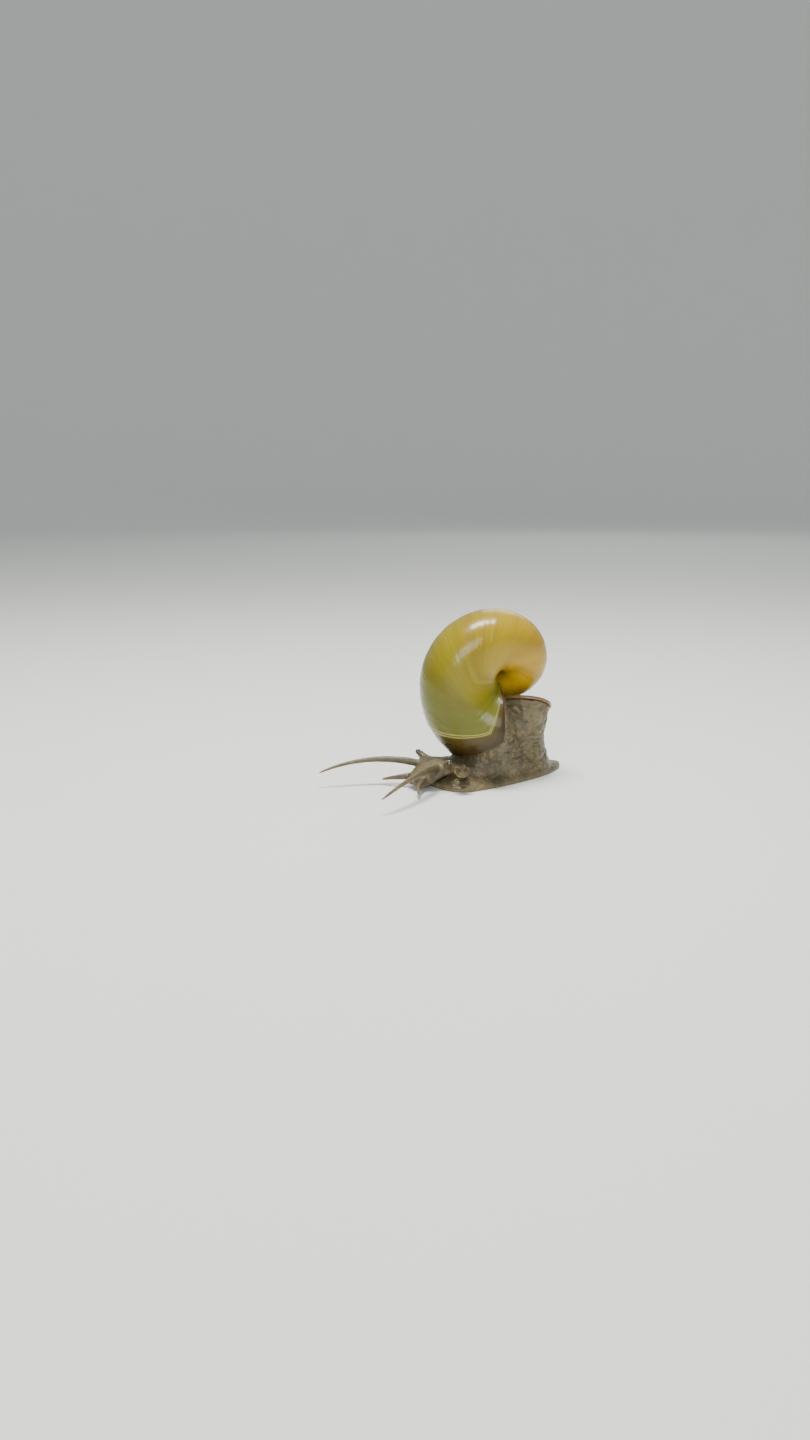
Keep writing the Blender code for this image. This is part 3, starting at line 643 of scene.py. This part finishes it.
def whorlRing(turn, count, inset):
    # a ring of the shell's tube, in its place on the animal and drawn in from the tube's outside
    return apexPoint + tubePoints(shellForm, turn, *tubeSection(shellForm, count, inset))[0]


def trunkRings(form, count=120):
    # from deep in the shell's mouth, past its lip and down to the foot
    # at the lip the mantle edge swells into a collar, with a groove below it
    rings = []
    for turn in (*np.linspace(form["deep"], -0.14, 12), -0.1, -0.075, -0.05, -0.03, -0.015, -0.005, 0.0):
        swollen = form["collar"] * math.exp(-((turn + 0.02) / form["collarReach"]) ** 2)
        rings.append(whorlRing(turn, count, form["inset"] - swollen))
    rings.append(whorlRing(0.0, count, form["inset"] + form["groove"]) + growthWay * form["grooveDrop"])
    lip = whorlRing(0.0, count, form["inset"])
    below = lip + growthWay * form["drop"]
    out = unit((lip - lip.mean(axis=0)) * (1, 1, 0))
    radius = ovalReach(out[:, 0], out[:, 1], form["baseHalfWidth"], form["baseHalfLength"], form["basePower"])
    base = atMouth(np.stack([out[:, 0] * radius, form["baseMiddle"] + out[:, 1] * radius,
                             np.full(count, form["baseHeight"])], axis=-1))
    rings.append(below)
    for share in np.linspace(0, 1, 25)[1:]:
        along = share * share * (3 - 2 * share) * 0.4 + share * 0.6
        for _ in range(form["rounding"]):
            below = (np.roll(below, 1, axis=0) + 2 * below + np.roll(below, -1, axis=0)) / 4
        rings.append(below * (1 - along) + base * along)
    rings.append(base - (0, 0, form["baseHeight"] - form["foot"]))
    return rings


def padRings(form, plateShape, count=120):
    # the lobe of the foot that stands on the tail and widens under the horny plate
    angle = anglesRound(count)
    across, along = np.cos(angle), np.sin(angle)
    x, y = form["middle"][0] + form["halfX"] * across, form["middle"][1] - form["halfY"] * along
    root = atMouth(np.stack([x, y, np.full(count, form["foot"])], axis=-1))
    top = platePoints(plateShape, plateShape["halfLength"] * form["rim"] * across,
                      plateShape["halfWidth"] * form["rim"] * along, np.full(count, form["sunk"]))
    rings = []
    for share in np.linspace(0, 1, 18):
        ring = root * (1 - share) + top * share
        waist = 1 - (1 - form["waist"]) * math.sin(math.pi * share)
        middle = ring.mean(axis=0)
        ring[:, :2] = middle[:2] + (ring[:, :2] - middle[:2]) * waist
        rings.append(ring)
    return rings


def blockFrom(name, corners):
    faces = [(0, 1, 3, 2), (4, 6, 7, 5), (0, 4, 5, 1), (2, 3, 7, 6), (0, 2, 6, 4), (1, 5, 7, 3)]
    return newObject(name, corners, faces, 1.0)


def smoothStations(stations, rows):
    # a smooth course through the stations, from one cubic to the next
    stations = np.array(stations)
    place = np.linspace(0, len(stations) - 1, rows)
    index = np.minimum(place.astype(int), len(stations) - 2)
    t = (place - index)[:, None]
    last = len(stations) - 1
    a, b, c, d = (stations[np.clip(index + k, 0, last)] for k in (-1, 0, 1, 2))
    return 0.5 * (2 * b + (c - a) * t + (2 * a - 5 * b + 4 * c - d) * t ** 2
                  + (3 * b - a - 3 * c + d) * t ** 3)


def headRings(sides=72, squareness=2.5):
    angle = anglesRound(sides)
    across, up = np.cos(angle), np.sin(angle)
    radius = ovalReach(across, up, 1.0, 1.0, squareness)
    return atMouth([np.stack([half * radius * across, np.full(sides, y),
                              (low + high) / 2 + (high - low) / 2 * radius * up], axis=-1)
                    for y, half, low, high in smoothStations(neckStations, 90)])


def heading(yaw, pitch):
    yaw, pitch = math.radians(yaw), math.radians(pitch)
    return np.array((math.sin(yaw) * math.cos(pitch), -math.cos(yaw) * math.cos(pitch), math.sin(pitch)))


def feelerLine(form, side, steps=48):
    points = [np.array(form["base"]) * (side, 1, 1)]
    for step in range(steps):
        share = (step + 0.5) / steps
        way = heading(side * between(form["yaw"], share), between(form["pitch"], share))
        points.append(points[-1] + way * form["length"] / steps)
    return atMouth(points)


def tubeAlong(line, radii, sides=24):
    way = unit(np.gradient(line, axis=0))
    across = unit(np.cross(way, (0, 0, 1)))
    up = unit(np.cross(across, way))
    angle = anglesRound(sides)[None, :, None]
    spokes = across[:, None] * np.cos(angle) + up[:, None] * np.sin(angle)
    return line[:, None] + spokes * np.asarray(radii)[:, None, None]


def feelerTube(name, form, side):
    line = feelerLine(form, side)
    radii = between(form["radii"], np.linspace(0, 1, len(line)))
    radii[-3:] *= (0.95, 0.82, 0.5)
    return loft(name, tubeAlong(line, radii))


def stalkRoot(side):
    # where an eye stalk starts, and the way it points
    stalk = feelerForm["stalk"]
    return atMouth(np.array(stalk["base"]) * (side, 1, 1)), heading(side * stalk["yaw"], stalk["pitch"])


def lobeSolid(name, form, steps=40, rows=30):
    # a rolled flap, open above, with a wall that thins towards its edge
    way = heading(form["yaw"], form["pitch"])
    across = unit(np.cross(way, (0, 0, 1)))
    up = np.cross(across, way)
    half = math.radians(lobeArc / 2)
    angle = np.linspace(-half, half, steps)[:, None]
    side = across[None] * np.sin(angle) - up[None] * np.cos(angle)
    rings = []
    for share in np.linspace(-0.35, 1, rows):
        middle = atMouth(form["base"]) + way * form["length"] * share
        radius = between(form["radii"], share)
        wall = lobeWall * (1 - 0.35 * max(0, share) ** 3)
        rings.append(np.concatenate([middle + side * radius, (middle + side * (radius - wall))[::-1]]))
    count = steps * 2
    faces = gridFaces(rows, count)
    for start in (0, (rows - 1) * count):
        faces += [(start + i, start + i + 1, start + count - 2 - i, start + count - 1 - i)
                  for i in range(steps - 1)]
    return newObject(name, np.reshape(rings, (-1, 3)), faces, 1.0)


def ball(name, middle, radii, sides=36):
    angle = np.linspace(0, math.pi, 26)[1:-1, None]
    around = anglesRound(sides)
    rings = np.stack([np.sin(angle) * np.cos(around), np.sin(angle) * np.sin(around),
                      np.repeat(np.cos(angle), sides, axis=1)], axis=-1)
    return loft(name, rings * np.array(radii) + atMouth(middle))


def mouthSlit():
    return ball("slit", (0, -20.7, 2.45), (0.32, 1.3, 1.45))


def buildSkin():
    older = [whorlRing(turn, 96, -gap) for turn in np.linspace(-1.3, -0.75, 44) * fullTurn]
    edge = plateForm["halfWidth"] + 0.4
    seat = [platePoints(plateForm, x, y, z) for x in (-20, 20) for y in (-20, edge) for z in (-0.03, 20)]
    trunk, pad = loft("trunk", trunkRings(trunkForm)), loft("pad", padRings(padForm, plateForm))
    parts = [
        loft("foot", footRings(footForm)),
        cutAway(trunk, [loft("olderWhorl", older), blockFrom("seat", seat)]),
        cutAway(pad, [blockFrom("seat", seat)]),
        cutAway(loft("head", headRings()), [mouthSlit()]),
    ]
    stalk = feelerForm["stalk"]
    for side in (-1, 1):
        lip = ball("lip", (side * 0.78, -20.0, 2.45), (0.95, 0.85, 1.3))
        parts.append(cutAway(lip, [mouthSlit()]))
        parts += [feelerTube(kind, feelerForm[kind], side) for kind in ("tentacle", "palp")]
        base, way = stalkRoot(side)
        line = base + way * np.linspace(-1.0, stalk["length"] + 0.15, 12)[:, None]
        radii = np.linspace(stalk["radii"][0] + 0.15, stalk["radii"][1], 12)
        parts.append(loft("stalk", tubeAlong(line, radii)))
    parts += [lobeSolid("lobe", form) for form in lobeForms]

    work = bmesh.new()
    for part in parts:
        work.from_mesh(part.data)
        bpy.data.objects.remove(part)
    joined = bpy.data.meshes.new("snailSkin")
    work.to_mesh(joined)
    work.free()
    skin = bpy.data.objects.new("snailSkin", joined)
    bpy.context.scene.collection.objects.link(skin)
    fuse = skin.modifiers.new("fuse", "REMESH")
    fuse.mode = "VOXEL"
    fuse.voxel_size = skinForm["voxel"]
    return applyModifiers(skin)


skin = buildSkin()
print("skin fused:", len(skin.data.polygons), "faces")


# Finer work on the fused skin, on plain arrays of its corners

def neighbourMean(values, edges, degree):
    # the mean of each corner's neighbours, column by column
    total = np.zeros_like(values)
    for column in range(values.shape[1]):
        one = values[:, column]
        total[:, column] = (np.bincount(edges[:, 0], one[edges[:, 1]], len(one))
                            + np.bincount(edges[:, 1], one[edges[:, 0]], len(one)))
    return total / degree[:, None]


def cornerNormals(points, quads):
    diagonalA = points[quads[:, 2]] - points[quads[:, 0]]
    diagonalB = points[quads[:, 3]] - points[quads[:, 1]]
    face = np.cross(diagonalA, diagonalB)
    normals = np.zeros_like(points)
    for corner in range(4):
        for column in range(3):
            normals[:, column] += np.bincount(quads[:, corner], face[:, column], len(points))
    return unit(normals)


def nearFeelers(points):
    # distance to the nearest feeler, millimetres along it, and the share of its length
    distance, along, share = np.full(len(points), 9.0), np.zeros(len(points)), np.zeros(len(points))
    for kind in ("tentacle", "palp"):
        for side in (-1, 1):
            line = feelerLine(feelerForm[kind], side)
            for index, place in enumerate(line):
                newDistance = np.linalg.norm(points - place, axis=1)
                closer = newDistance < distance
                distance[closer] = newDistance[closer]
                share[closer] = index / (len(line) - 1)
                along[closer] = index / (len(line) - 1) * feelerForm[kind]["length"]
    return distance, along, share


def foldsAt(points, size, shift):
    # irregular folds from -1 to 1: rounded ridges parted by narrow valleys
    broad = 1 - np.abs(noiseAt(points, size, shift)) * 3.2
    narrow = 1 - np.abs(noiseAt(points, size * 0.45, shift + 4.0)) * 3.2
    return -(np.clip(broad, -1, 1) + 0.4 * np.clip(narrow, -1, 1)) / 1.4


skinDetail = {
    "trunkFold": 0.3, "neckFold": 0.13, "rimFrill": 0.16, "wart": 0.05, "ring": 0.03, "ringSpacing": 0.62,
    "headFold": 0.07, "footFold": 0.09, "frontGroove": 0.3,
}


def finishSkin(obj, form, detail):
    mesh = obj.data
    points = readArray(mesh.vertices, "co", 3)
    edges = readArray(mesh.edges, "vertices", 2, int)
    quads = readArray(mesh.loops, "vertex_index", 1, int).reshape(-1, 4)
    degree = np.maximum(np.bincount(edges.reshape(-1), minlength=len(points)), 1)

    feeler, alongFeeler, feelerShare = nearFeelers(points)
    onFeeler = ease(-feeler, -1.6, -1.15) * ease(feelerShare, 0.06, 0.16)
    body = 1 - onFeeler
    keepSlit = 1 - ease(-np.linalg.norm(points - atMouth((0, -20.4, 2.4)), axis=1), -2.4, -1.6)
    for _ in range(form["smoothing"]):
        points += (neighbourMean(points, edges, degree) - points) * 0.5 * (0.25 + 0.75 * body)[:, None]

    # hollow creases where two lofts meet are filled, and nothing that stands out is worn down
    for _ in range(form["filleting"]):
        normals = cornerNormals(points, quads)
        pull = neighbourMean(points, edges, degree) - points
        hollow = np.maximum(0, (pull * normals).sum(axis=1))
        points += normals * (hollow * 0.9 * body * keepSlit)[:, None]
    points += (neighbourMean(points, edges, degree) - points) * 0.4 * body[:, None]

    # zones of the body
    normals = cornerNormals(points, quads)
    place = points - atMouth((0, 0, 0))
    x, y, z = place.T
    trunkZone = ease(z, 3.6, 6.0) * ease(y, -6.5, -4.0)
    neckZone = ease(-y, 4.5, 7.0) * ease(y, -15.0, -12.5) * ease(z, 3.5, 5.0)
    snoutZone = ease(-y, 14.0, 16.0) * keepSlit
    footTop = ease(z, 0.25, 0.9) * ease(-z, -4.5, -3.0) * ease(y, -16.5, -14.0)
    rimZone = ease(-z, -1.5, -0.5) * ease(z, 0.12, 0.4) * ease(np.abs(normals[:, 2]) * -1, -0.85, -0.4)
    grooveZone = rimZone * ease(-y, 11.0, 13.0) * ease(np.abs(x), 2.0, 4.5)
    grooveZone *= np.exp(-((z - 0.75) / 0.16) ** 2)
    warted = (trunkZone + footTop + neckZone * 0.8 + snoutZone * 0.5).clip(0, 1)

    # folds, warts and rings, in millimetres outward
    warp, coarse, fine = noiseAt(place, 4.0, 11.0), noiseAt(place, 1.5, 3.0), noiseAt(place, 0.7, 7.0)
    wart = np.array([1 - min(1.0, noise.voronoi(Vector(p))[0][0] * 1.25) for p in place / 0.95])
    bearing = np.arctan2(x, y - 3.0)
    upright = foldsAt(np.stack([bearing * 7.5, z * 0.3, y * 0.15], axis=-1), 1.5, 5.0)
    level = foldsAt(place * (0.3, 0.45, 1.5), 1.9, 9.0)
    ringed = foldsAt(place * (0.25, 1.4, 0.5), 1.1, 2.0)
    wrinkled = foldsAt(place, 1.3, 21.0)
    lift = detail["trunkFold"] * trunkZone * (upright + 0.55 * level + 0.8 * coarse)
    lift += detail["neckFold"] * neckZone * (ringed + 0.5 * wrinkled)
    lift += detail["headFold"] * snoutZone * (ringed + 0.5 * wrinkled + fine * 0.5)
    lift += detail["footFold"] * footTop * wrinkled
    lift += detail["wart"] * warted * (wart * 1.6 - 0.4 + fine)
    lift += detail["rimFrill"] * rimZone * (coarse + np.sin(y * 2.4 + warp * 5.0) * 0.35)
    lift -= detail["frontGroove"] * grooveZone
    lift *= body
    rings = np.sin(alongFeeler * fullTurn / detail["ringSpacing"] + warp * 2) + fine
    lift += detail["ring"] * onFeeler * (1.05 - 0.79 * feelerShare) * rings
    points += normals * lift[:, None]
    resting = (points[:, 2] < 0.14) & (normals[:, 2] < -0.6)
    points[resting, 2] = 0.0
    points[:, 2] = np.maximum(points[:, 2], 0.0)

    # fields for the colours
    normals = cornerNormals(points, quads)
    hollow = ((neighbourMean(points, edges, degree) - points) * normals).sum(axis=1)
    for _ in range(4):
        hollow = neighbourMean(hollow[:, None], edges, degree)[:, 0] * 0.5 + hollow * 0.5
    mesh.vertices.foreach_set("co", (points * mm).reshape(-1))
    mesh.update()
    sole = ease(-normals[:, 2], 0.4, 0.8) * ease(-z, -1.5, -0.4)
    # crease measures the hollows of the skin, which its colour darkens as painted shade
    setFloats(mesh, crease=np.clip(hollow * 40, -1, 1), sole=sole, rim=ease(-z, -1.7, -0.5), feeler=onFeeler,
              # high marks the upper body for painted light from above
              along=feelerShare, high=ease(z, 4.0, 12.0))
    mesh.shade_smooth()


finishSkin(skin, skinForm, skinDetail)
print("skin finished")

skinFinish = {
    "dark": (0.026, 0.021, 0.012), "middle": (0.080, 0.062, 0.031), "light": (0.185, 0.142, 0.070),
    "fleck": (0.60, 0.40, 0.10), "sole": (0.30, 0.23, 0.12), "feeler": (0.085, 0.064, 0.032),
    "feelerTip": (0.18, 0.13, 0.06), "patchSize": 3.4, "blotSize": 1.3, "wartSize": 0.42, "fleckSize": 0.95,
    "blotDepth": 0.5, "creaseShadeDepth": 0.3, "litTopDepth": 0.35, "rimDepth": 0.45, "bump": 0.32,
    "bumpDepth": 0.09,
}


def fleckMask(tree, place, size, dot, rarity):
    # round dots in some of the cells of a pattern
    cells = addNode(tree, "ShaderNodeTexVoronoi", {"Vector": place, "Scale": 1 / size}).outputs
    chance = addNode(tree, "ShaderNodeSeparateColor", {0: cells["Color"]}).outputs[0]
    dots = remap(tree, cells["Distance"], dot + 0.12, dot)
    return times(tree, dots, remap(tree, chance, rarity, rarity + 0.2))


def skinMaterial(finish):
    material, tree, shader = newMaterial(
        "wetSkin", Subsurface_Weight=0.25, Subsurface_Radius=(1.0, 0.55, 0.3), Subsurface_Scale=0.0009,
        Coat_Weight=0.4, Coat_Roughness=0.16, Coat_IOR=1.34, IOR=1.38)
    place = placeInMillimetres(tree)
    crease, sole, rim, feeler, along, high = readFields(
        tree, "crease", "sole", "rim", "feeler", "along", "high")
    patches = patchMask(tree, place, finish["patchSize"], 0.16)
    blots = patchMask(tree, place, finish["blotSize"], 0.2)
    crowded = patchMask(tree, place, 5.0, 0.1)
    warts = useGroup(tree, wartyGrain, Place=place, Size=finish["wartSize"], Grain=0.35)
    colour = blendColours(tree, patches, finish["middle"], finish["light"])
    colour = layer(tree, colour, blots, finish["blotDepth"], finish["dark"])
    # painted shade: the creases between the warts are darkened
    colour = layer(tree, colour, warts["Crease"], finish["creaseShadeDepth"], finish["dark"])
    feelerColour = blendColours(tree, remap(tree, along, 0.2, 1.0), finish["feeler"], finish["feelerTip"])
    feelerColour = layer(tree, feelerColour, blots, 0.45, finish["dark"])
    colour = layer(tree, colour, feeler, 0.85, feelerColour)
    # painted light: the higher parts of the body are lightened, as if lit from above
    colour = layer(tree, colour, high, finish["litTopDepth"], finish["light"])

    # pale yellow flecks of two sizes, crowded in patches and rare on the feelers and the sole
    flecks = plus(tree, fleckMask(tree, place, finish["fleckSize"], 0.12, 0.6),
                  fleckMask(tree, place, finish["fleckSize"] / 2.6, 0.14, 0.7), clamp=True)
    for mask in (plus(tree, times(tree, crowded, 0.6), 0.04), oneMinus(tree, sole),
                 oneMinus(tree, times(tree, feeler, 0.7))):
        flecks = times(tree, flecks, mask)
    colour = blendColours(tree, flecks, colour, finish["fleck"])
    colour = layer(tree, colour, rim, finish["rimDepth"], finish["light"])
    colour = blendColours(tree, sole, colour, layer(tree, finish["sole"], blots, 0.3, finish["light"]))
    # painted shade: the skin is darkened in its hollows and creases
    paintedHollowShade = remap(tree, crease, 0.05, 0.7, 0.0, 0.6)
    colour = blendColours(tree, paintedHollowShade, colour, finish["dark"])
    rough = plus(tree, times(tree, blots, 0.12), 0.42)
    linkShader(tree, shader, colour, rough, warts["Height"], finish["bump"], finish["bumpDepth"])
    return material


skin.data.materials.clear()
skin.data.materials.append(skinMaterial(skinFinish))
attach(skin, "root")
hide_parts("mantle", "trunk", "neck", "head", "foot_front", "foot_middle", "foot_tail", "siphon_left",
            "neck_lobe_right", "labial_palp_left", "labial_palp_right",
            *[f"tentacle_{side}_{part}" for side in ("left", "right") for part in (1, 2, 3)],
            "eyestalk_left", "eyestalk_right")


# Horny plate that closes the shell, carried on the tail

def makePlate(form, sides=132, rows=110):
    # rings over the underside, round the edge and back to the middle of the dished upper side
    angle = anglesRound(sides)
    rings = [(share, np.zeros(sides)) for share in np.linspace(0.02, 0.985, 12)]
    for share, height in ((0.995, 0.05), (1.0, 0.18), (1.0, 0.5), (0.994, 0.72), (0.984, 0.82)):
        rings.append((share, np.full(sides, height * form["thickness"])))
    for share in np.linspace(0.972, 0.01, rows):
        sunk = form["hollow"] * 0.5 * (1 - share * share)
        ring = share * form["halfWidth"] + 0.1 * np.sin(angle * 2 + share * 3)
        step = form["ridges"] * (wander(ring, 0.8, 31) + 0.5 * wander(ring, 0.3, 32))
        fade = 1 - ease(share, 0.93, 0.985)
        rings.append((share, form["thickness"] * 0.9 - sunk * fade + step * fade))
    points = []
    for share, height in rings:
        nucleus = 0.28 * form["halfWidth"] * (1 - share)
        wave = 1 + 0.006 * np.sin(angle * 5 + 1) * (share > 0.5)
        points.append(platePoints(form, form["halfLength"] * share * np.cos(angle) * wave,
                                  form["halfWidth"] * share * np.sin(angle) * wave + nucleus, height))
    plate = loft("opercularPlate", points, mm)
    share = np.concatenate([np.full(sides, share) for share, _ in rings] + [[rings[0][0], rings[-1][0]]])
    setFloats(plate.data, ring=share * form["rings"], share=share,
              around=np.append(np.tile(angle, len(rings)), (0, 0)))
    return plate


plateFinish = {"dark": (0.045, 0.020, 0.008), "light": (0.13, 0.062, 0.020), "edge": (0.20, 0.115, 0.04),
               "lines": ((0.22, 0.4), (1.4, 0.5))}


def plateMaterial(finish):
    material, tree, shader = newMaterial("hornPlate", Coat_Weight=0.35, Coat_Roughness=0.2, IOR=1.5)
    ring, around, share = readFields(tree, "ring", "around", "share")
    fine, broad = lineSets(tree, ring, around, finish["lines"])
    patches = patchMask(tree, placeInMillimetres(tree), 3.0, 0.25)
    colour = blendColours(tree, broad["Mask"], finish["dark"], finish["light"])
    colour = layer(tree, colour, fine["Mask"], 0.45, finish["dark"])
    colour = layer(tree, colour, patches, 0.35, finish["light"])
    colour = blendColours(tree, remap(tree, share, 0.9, 1.0), colour, finish["edge"])
    rough = plus(tree, times(tree, fine["Mask"], 0.15), 0.3)
    linkShader(tree, shader, colour, rough, fine["Height"], 0.4, 0.08)
    return material


plate = makePlate(plateForm)
plate.data.materials.append(plateMaterial(plateFinish))
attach(plate, "root")
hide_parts("operculum")
print("operculum done")


# Eyes: glossy dark beads with a thin golden ring

eyeFinish = {"pupil": (0.006, 0.006, 0.007), "ring": (0.42, 0.29, 0.07), "outer": (0.03, 0.025, 0.018),
             "ringPlace": 0.62, "ringWidth": 0.09}


def makeEye(side, name, node, sides=56):
    stalk = feelerForm["stalk"]
    radius = stalk["eyeRadius"]
    base, way = stalkRoot(side)
    middle = base + way * stalk["length"] + way * (gap + 0.3 * radius)
    across = unit(np.cross(way, (0, 0, 1)))
    up = np.cross(across, way)
    angle = anglesRound(sides)[:, None]
    tilts = np.linspace(math.radians(12), math.pi - 0.05, 34)[::-1]
    tilts = np.concatenate([tilts, np.radians([8, 4, 1])])
    eye = loft(name, [middle + way * radius * math.cos(tilt) * 0.98
                      + (across * np.cos(angle) + up * np.sin(angle)) * radius * math.sin(tilt)
                      for tilt in tilts], mm)
    setFloats(eye.data, tilt=np.append(np.repeat(tilts, sides), (math.pi, 0)))
    eye.data.materials.append(eyeSurface)
    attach(eye, "root")
    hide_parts(node)


def eyeMaterial(finish):
    material, tree, shader = newMaterial("eyeBead", Coat_Weight=1.0, Coat_Roughness=0.03, IOR=1.45)
    tilt, = readFields(tree, "tilt")
    cloud = patchMask(tree, placeInMillimetres(tree), 0.25, 0.3)
    fromRing = math2(tree, "ABSOLUTE", math2(tree, "SUBTRACT", tilt, finish["ringPlace"]))
    ring = remap(tree, fromRing, finish["ringWidth"], finish["ringWidth"] * 0.3)
    outer = remap(tree, tilt, finish["ringPlace"], finish["ringPlace"] + 0.2)
    colour = blendColours(tree, outer, finish["pupil"], finish["outer"])
    colour = layer(tree, colour, cloud, outer, finish["pupil"])
    colour = layer(tree, colour, ring, 0.75, finish["ring"])
    linkShader(tree, shader, colour, plus(tree, times(tree, cloud, 0.06), 0.08))
    return material


eyeSurface = eyeMaterial(eyeFinish)
makeEye(1, "eyeLeft", "eye_left")
makeEye(-1, "eyeRight", "eye_right")
print("eyes done")


# Floor that curves up into a plain backdrop all round, soft lights and the camera

studio = {
    "floorRadius": 1500.0, "bendRadius": 900.0, "wallHeight": 1600.0, "floorColour": (0.76, 0.77, 0.75),
    "worldColour": (0.86, 0.90, 0.89), "worldStrength": 0.5,
    "lights": (
        {"name": "overheadKey", "from": (-20, -30, 520), "size": (150, 230), "power": 5.0,
         "colour": (1.0, 0.97, 0.90)},
        {"name": "frontFill", "from": (1100, -890, 640), "size": (880, 640), "power": 15.5,
         "colour": (0.90, 0.96, 1.0)},
        {"name": "backRim", "from": (-900, 920, 700), "size": (560, 640), "power": 2.2,
         "colour": (0.95, 1.0, 0.97)},
    ),
}


def makeFloor(form, sides=128):
    flat, bend = form["floorRadius"], form["bendRadius"]
    profile = [(r, 0.0) for r in np.linspace(5, flat, 20)]
    for rise in np.linspace(0, math.pi / 2, 24)[1:]:
        profile.append((flat + bend * math.sin(rise), bend * (1 - math.cos(rise))))
    profile.append((flat + bend, form["wallHeight"]))
    angle = anglesRound(sides)
    rings = [np.stack([r * np.cos(angle), r * np.sin(angle), np.full(sides, z)], axis=-1) for r, z in profile]
    points = np.concatenate([np.reshape(rings, (-1, 3)), [(0, 0, 0)]])
    faces = gridFaces(len(profile), sides) + [((i + 1) % sides, i, len(points) - 1) for i in range(sides)]
    floor = newObject("studioFloor", points, faces)
    material, tree, shader = newMaterial("paleFloor", Roughness=0.65)
    cloud = patchMask(tree, placeInMillimetres(tree), 40.0, 0.3)
    pale = form["floorColour"]
    linkShader(tree, shader, layer(tree, pale, cloud, 0.5, tuple(part * 0.985 for part in pale)))
    floor.data.materials.append(material)


def aimAt(obj, place, target):
    obj.location = Vector(place) * mm
    obj.rotation_euler = (Vector(target) - Vector(place)).to_track_quat("-Z", "Y").to_euler()


def makeLights(form, target):
    for setting in form["lights"]:
        data = bpy.data.lights.new(setting["name"], "AREA")
        data.shape = "RECTANGLE"
        data.size, data.size_y = (side * mm for side in setting["size"])
        data.energy = setting["power"]
        data.color = setting["colour"]
        light = bpy.data.objects.new(setting["name"], data)
        bpy.context.scene.collection.objects.link(light)
        aimAt(light, setting["from"], target)
    world = bpy.data.worlds.new("paleStudio")
    world.use_nodes = True
    background = world.node_tree.nodes["Background"]
    background.inputs["Color"].default_value = (*form["worldColour"], 1.0)
    background.inputs["Strength"].default_value = form["worldStrength"]
    bpy.context.scene.world = world


view = {"pictureWidth": 810, "pictureHeight": 1440, "focalPixels": 1132.0, "shellPixel": (485.9, 680.4),
        "azimuth": 52.2, "elevation": 10.0, "distance": 290.0, "sensorHeight": 36.0}


def makeCamera(setting, target):
    # the ray through the shell's pixel comes from the photograph's direction, and the picture is level
    azimuth, elevation = math.radians(setting["azimuth"]), math.radians(setting["elevation"])
    towards = -np.array((math.sin(azimuth) * math.cos(elevation), -math.cos(azimuth) * math.cos(elevation),
                         math.sin(elevation)))
    place = np.array(target) - towards * setting["distance"]
    right = (setting["shellPixel"][0] - setting["pictureWidth"] / 2) / setting["focalPixels"]
    up = (setting["pictureHeight"] / 2 - setting["shellPixel"][1]) / setting["focalPixels"]
    # up * cos(pitch) + sin(pitch) is the ray's rise, for a pitch above level
    length = math.sqrt(right * right + up * up + 1)
    pitch = math.asin(towards[2] * length / math.hypot(up, 1)) - math.atan2(up, 1)
    forward = math.cos(pitch) - up * math.sin(pitch)
    yaw = math.atan2(towards[1], towards[0]) + math.atan2(right, forward)
    look = Vector((math.cos(pitch) * math.cos(yaw), math.cos(pitch) * math.sin(yaw), math.sin(pitch)))
    data = bpy.data.cameras.new("photographView")
    data.sensor_fit = "VERTICAL"
    data.sensor_height = setting["sensorHeight"]
    data.lens = setting["focalPixels"] / setting["pictureHeight"] * setting["sensorHeight"]
    data.clip_start = 0.005
    data.clip_end = 10.0
    camera = bpy.data.objects.new("photographView", data)
    camera.location = Vector(place) * mm
    camera.rotation_euler = look.to_track_quat("-Z", "Y").to_euler()
    bpy.context.scene.collection.objects.link(camera)
    bpy.context.scene.camera = camera


shellLow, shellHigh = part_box("shell")
shellMiddle = [500 * (low + high) for low, high in zip(shellLow, shellHigh)]
makeFloor(studio)
makeLights(studio, shellMiddle)
makeCamera(view, shellMiddle)
print("studio done")
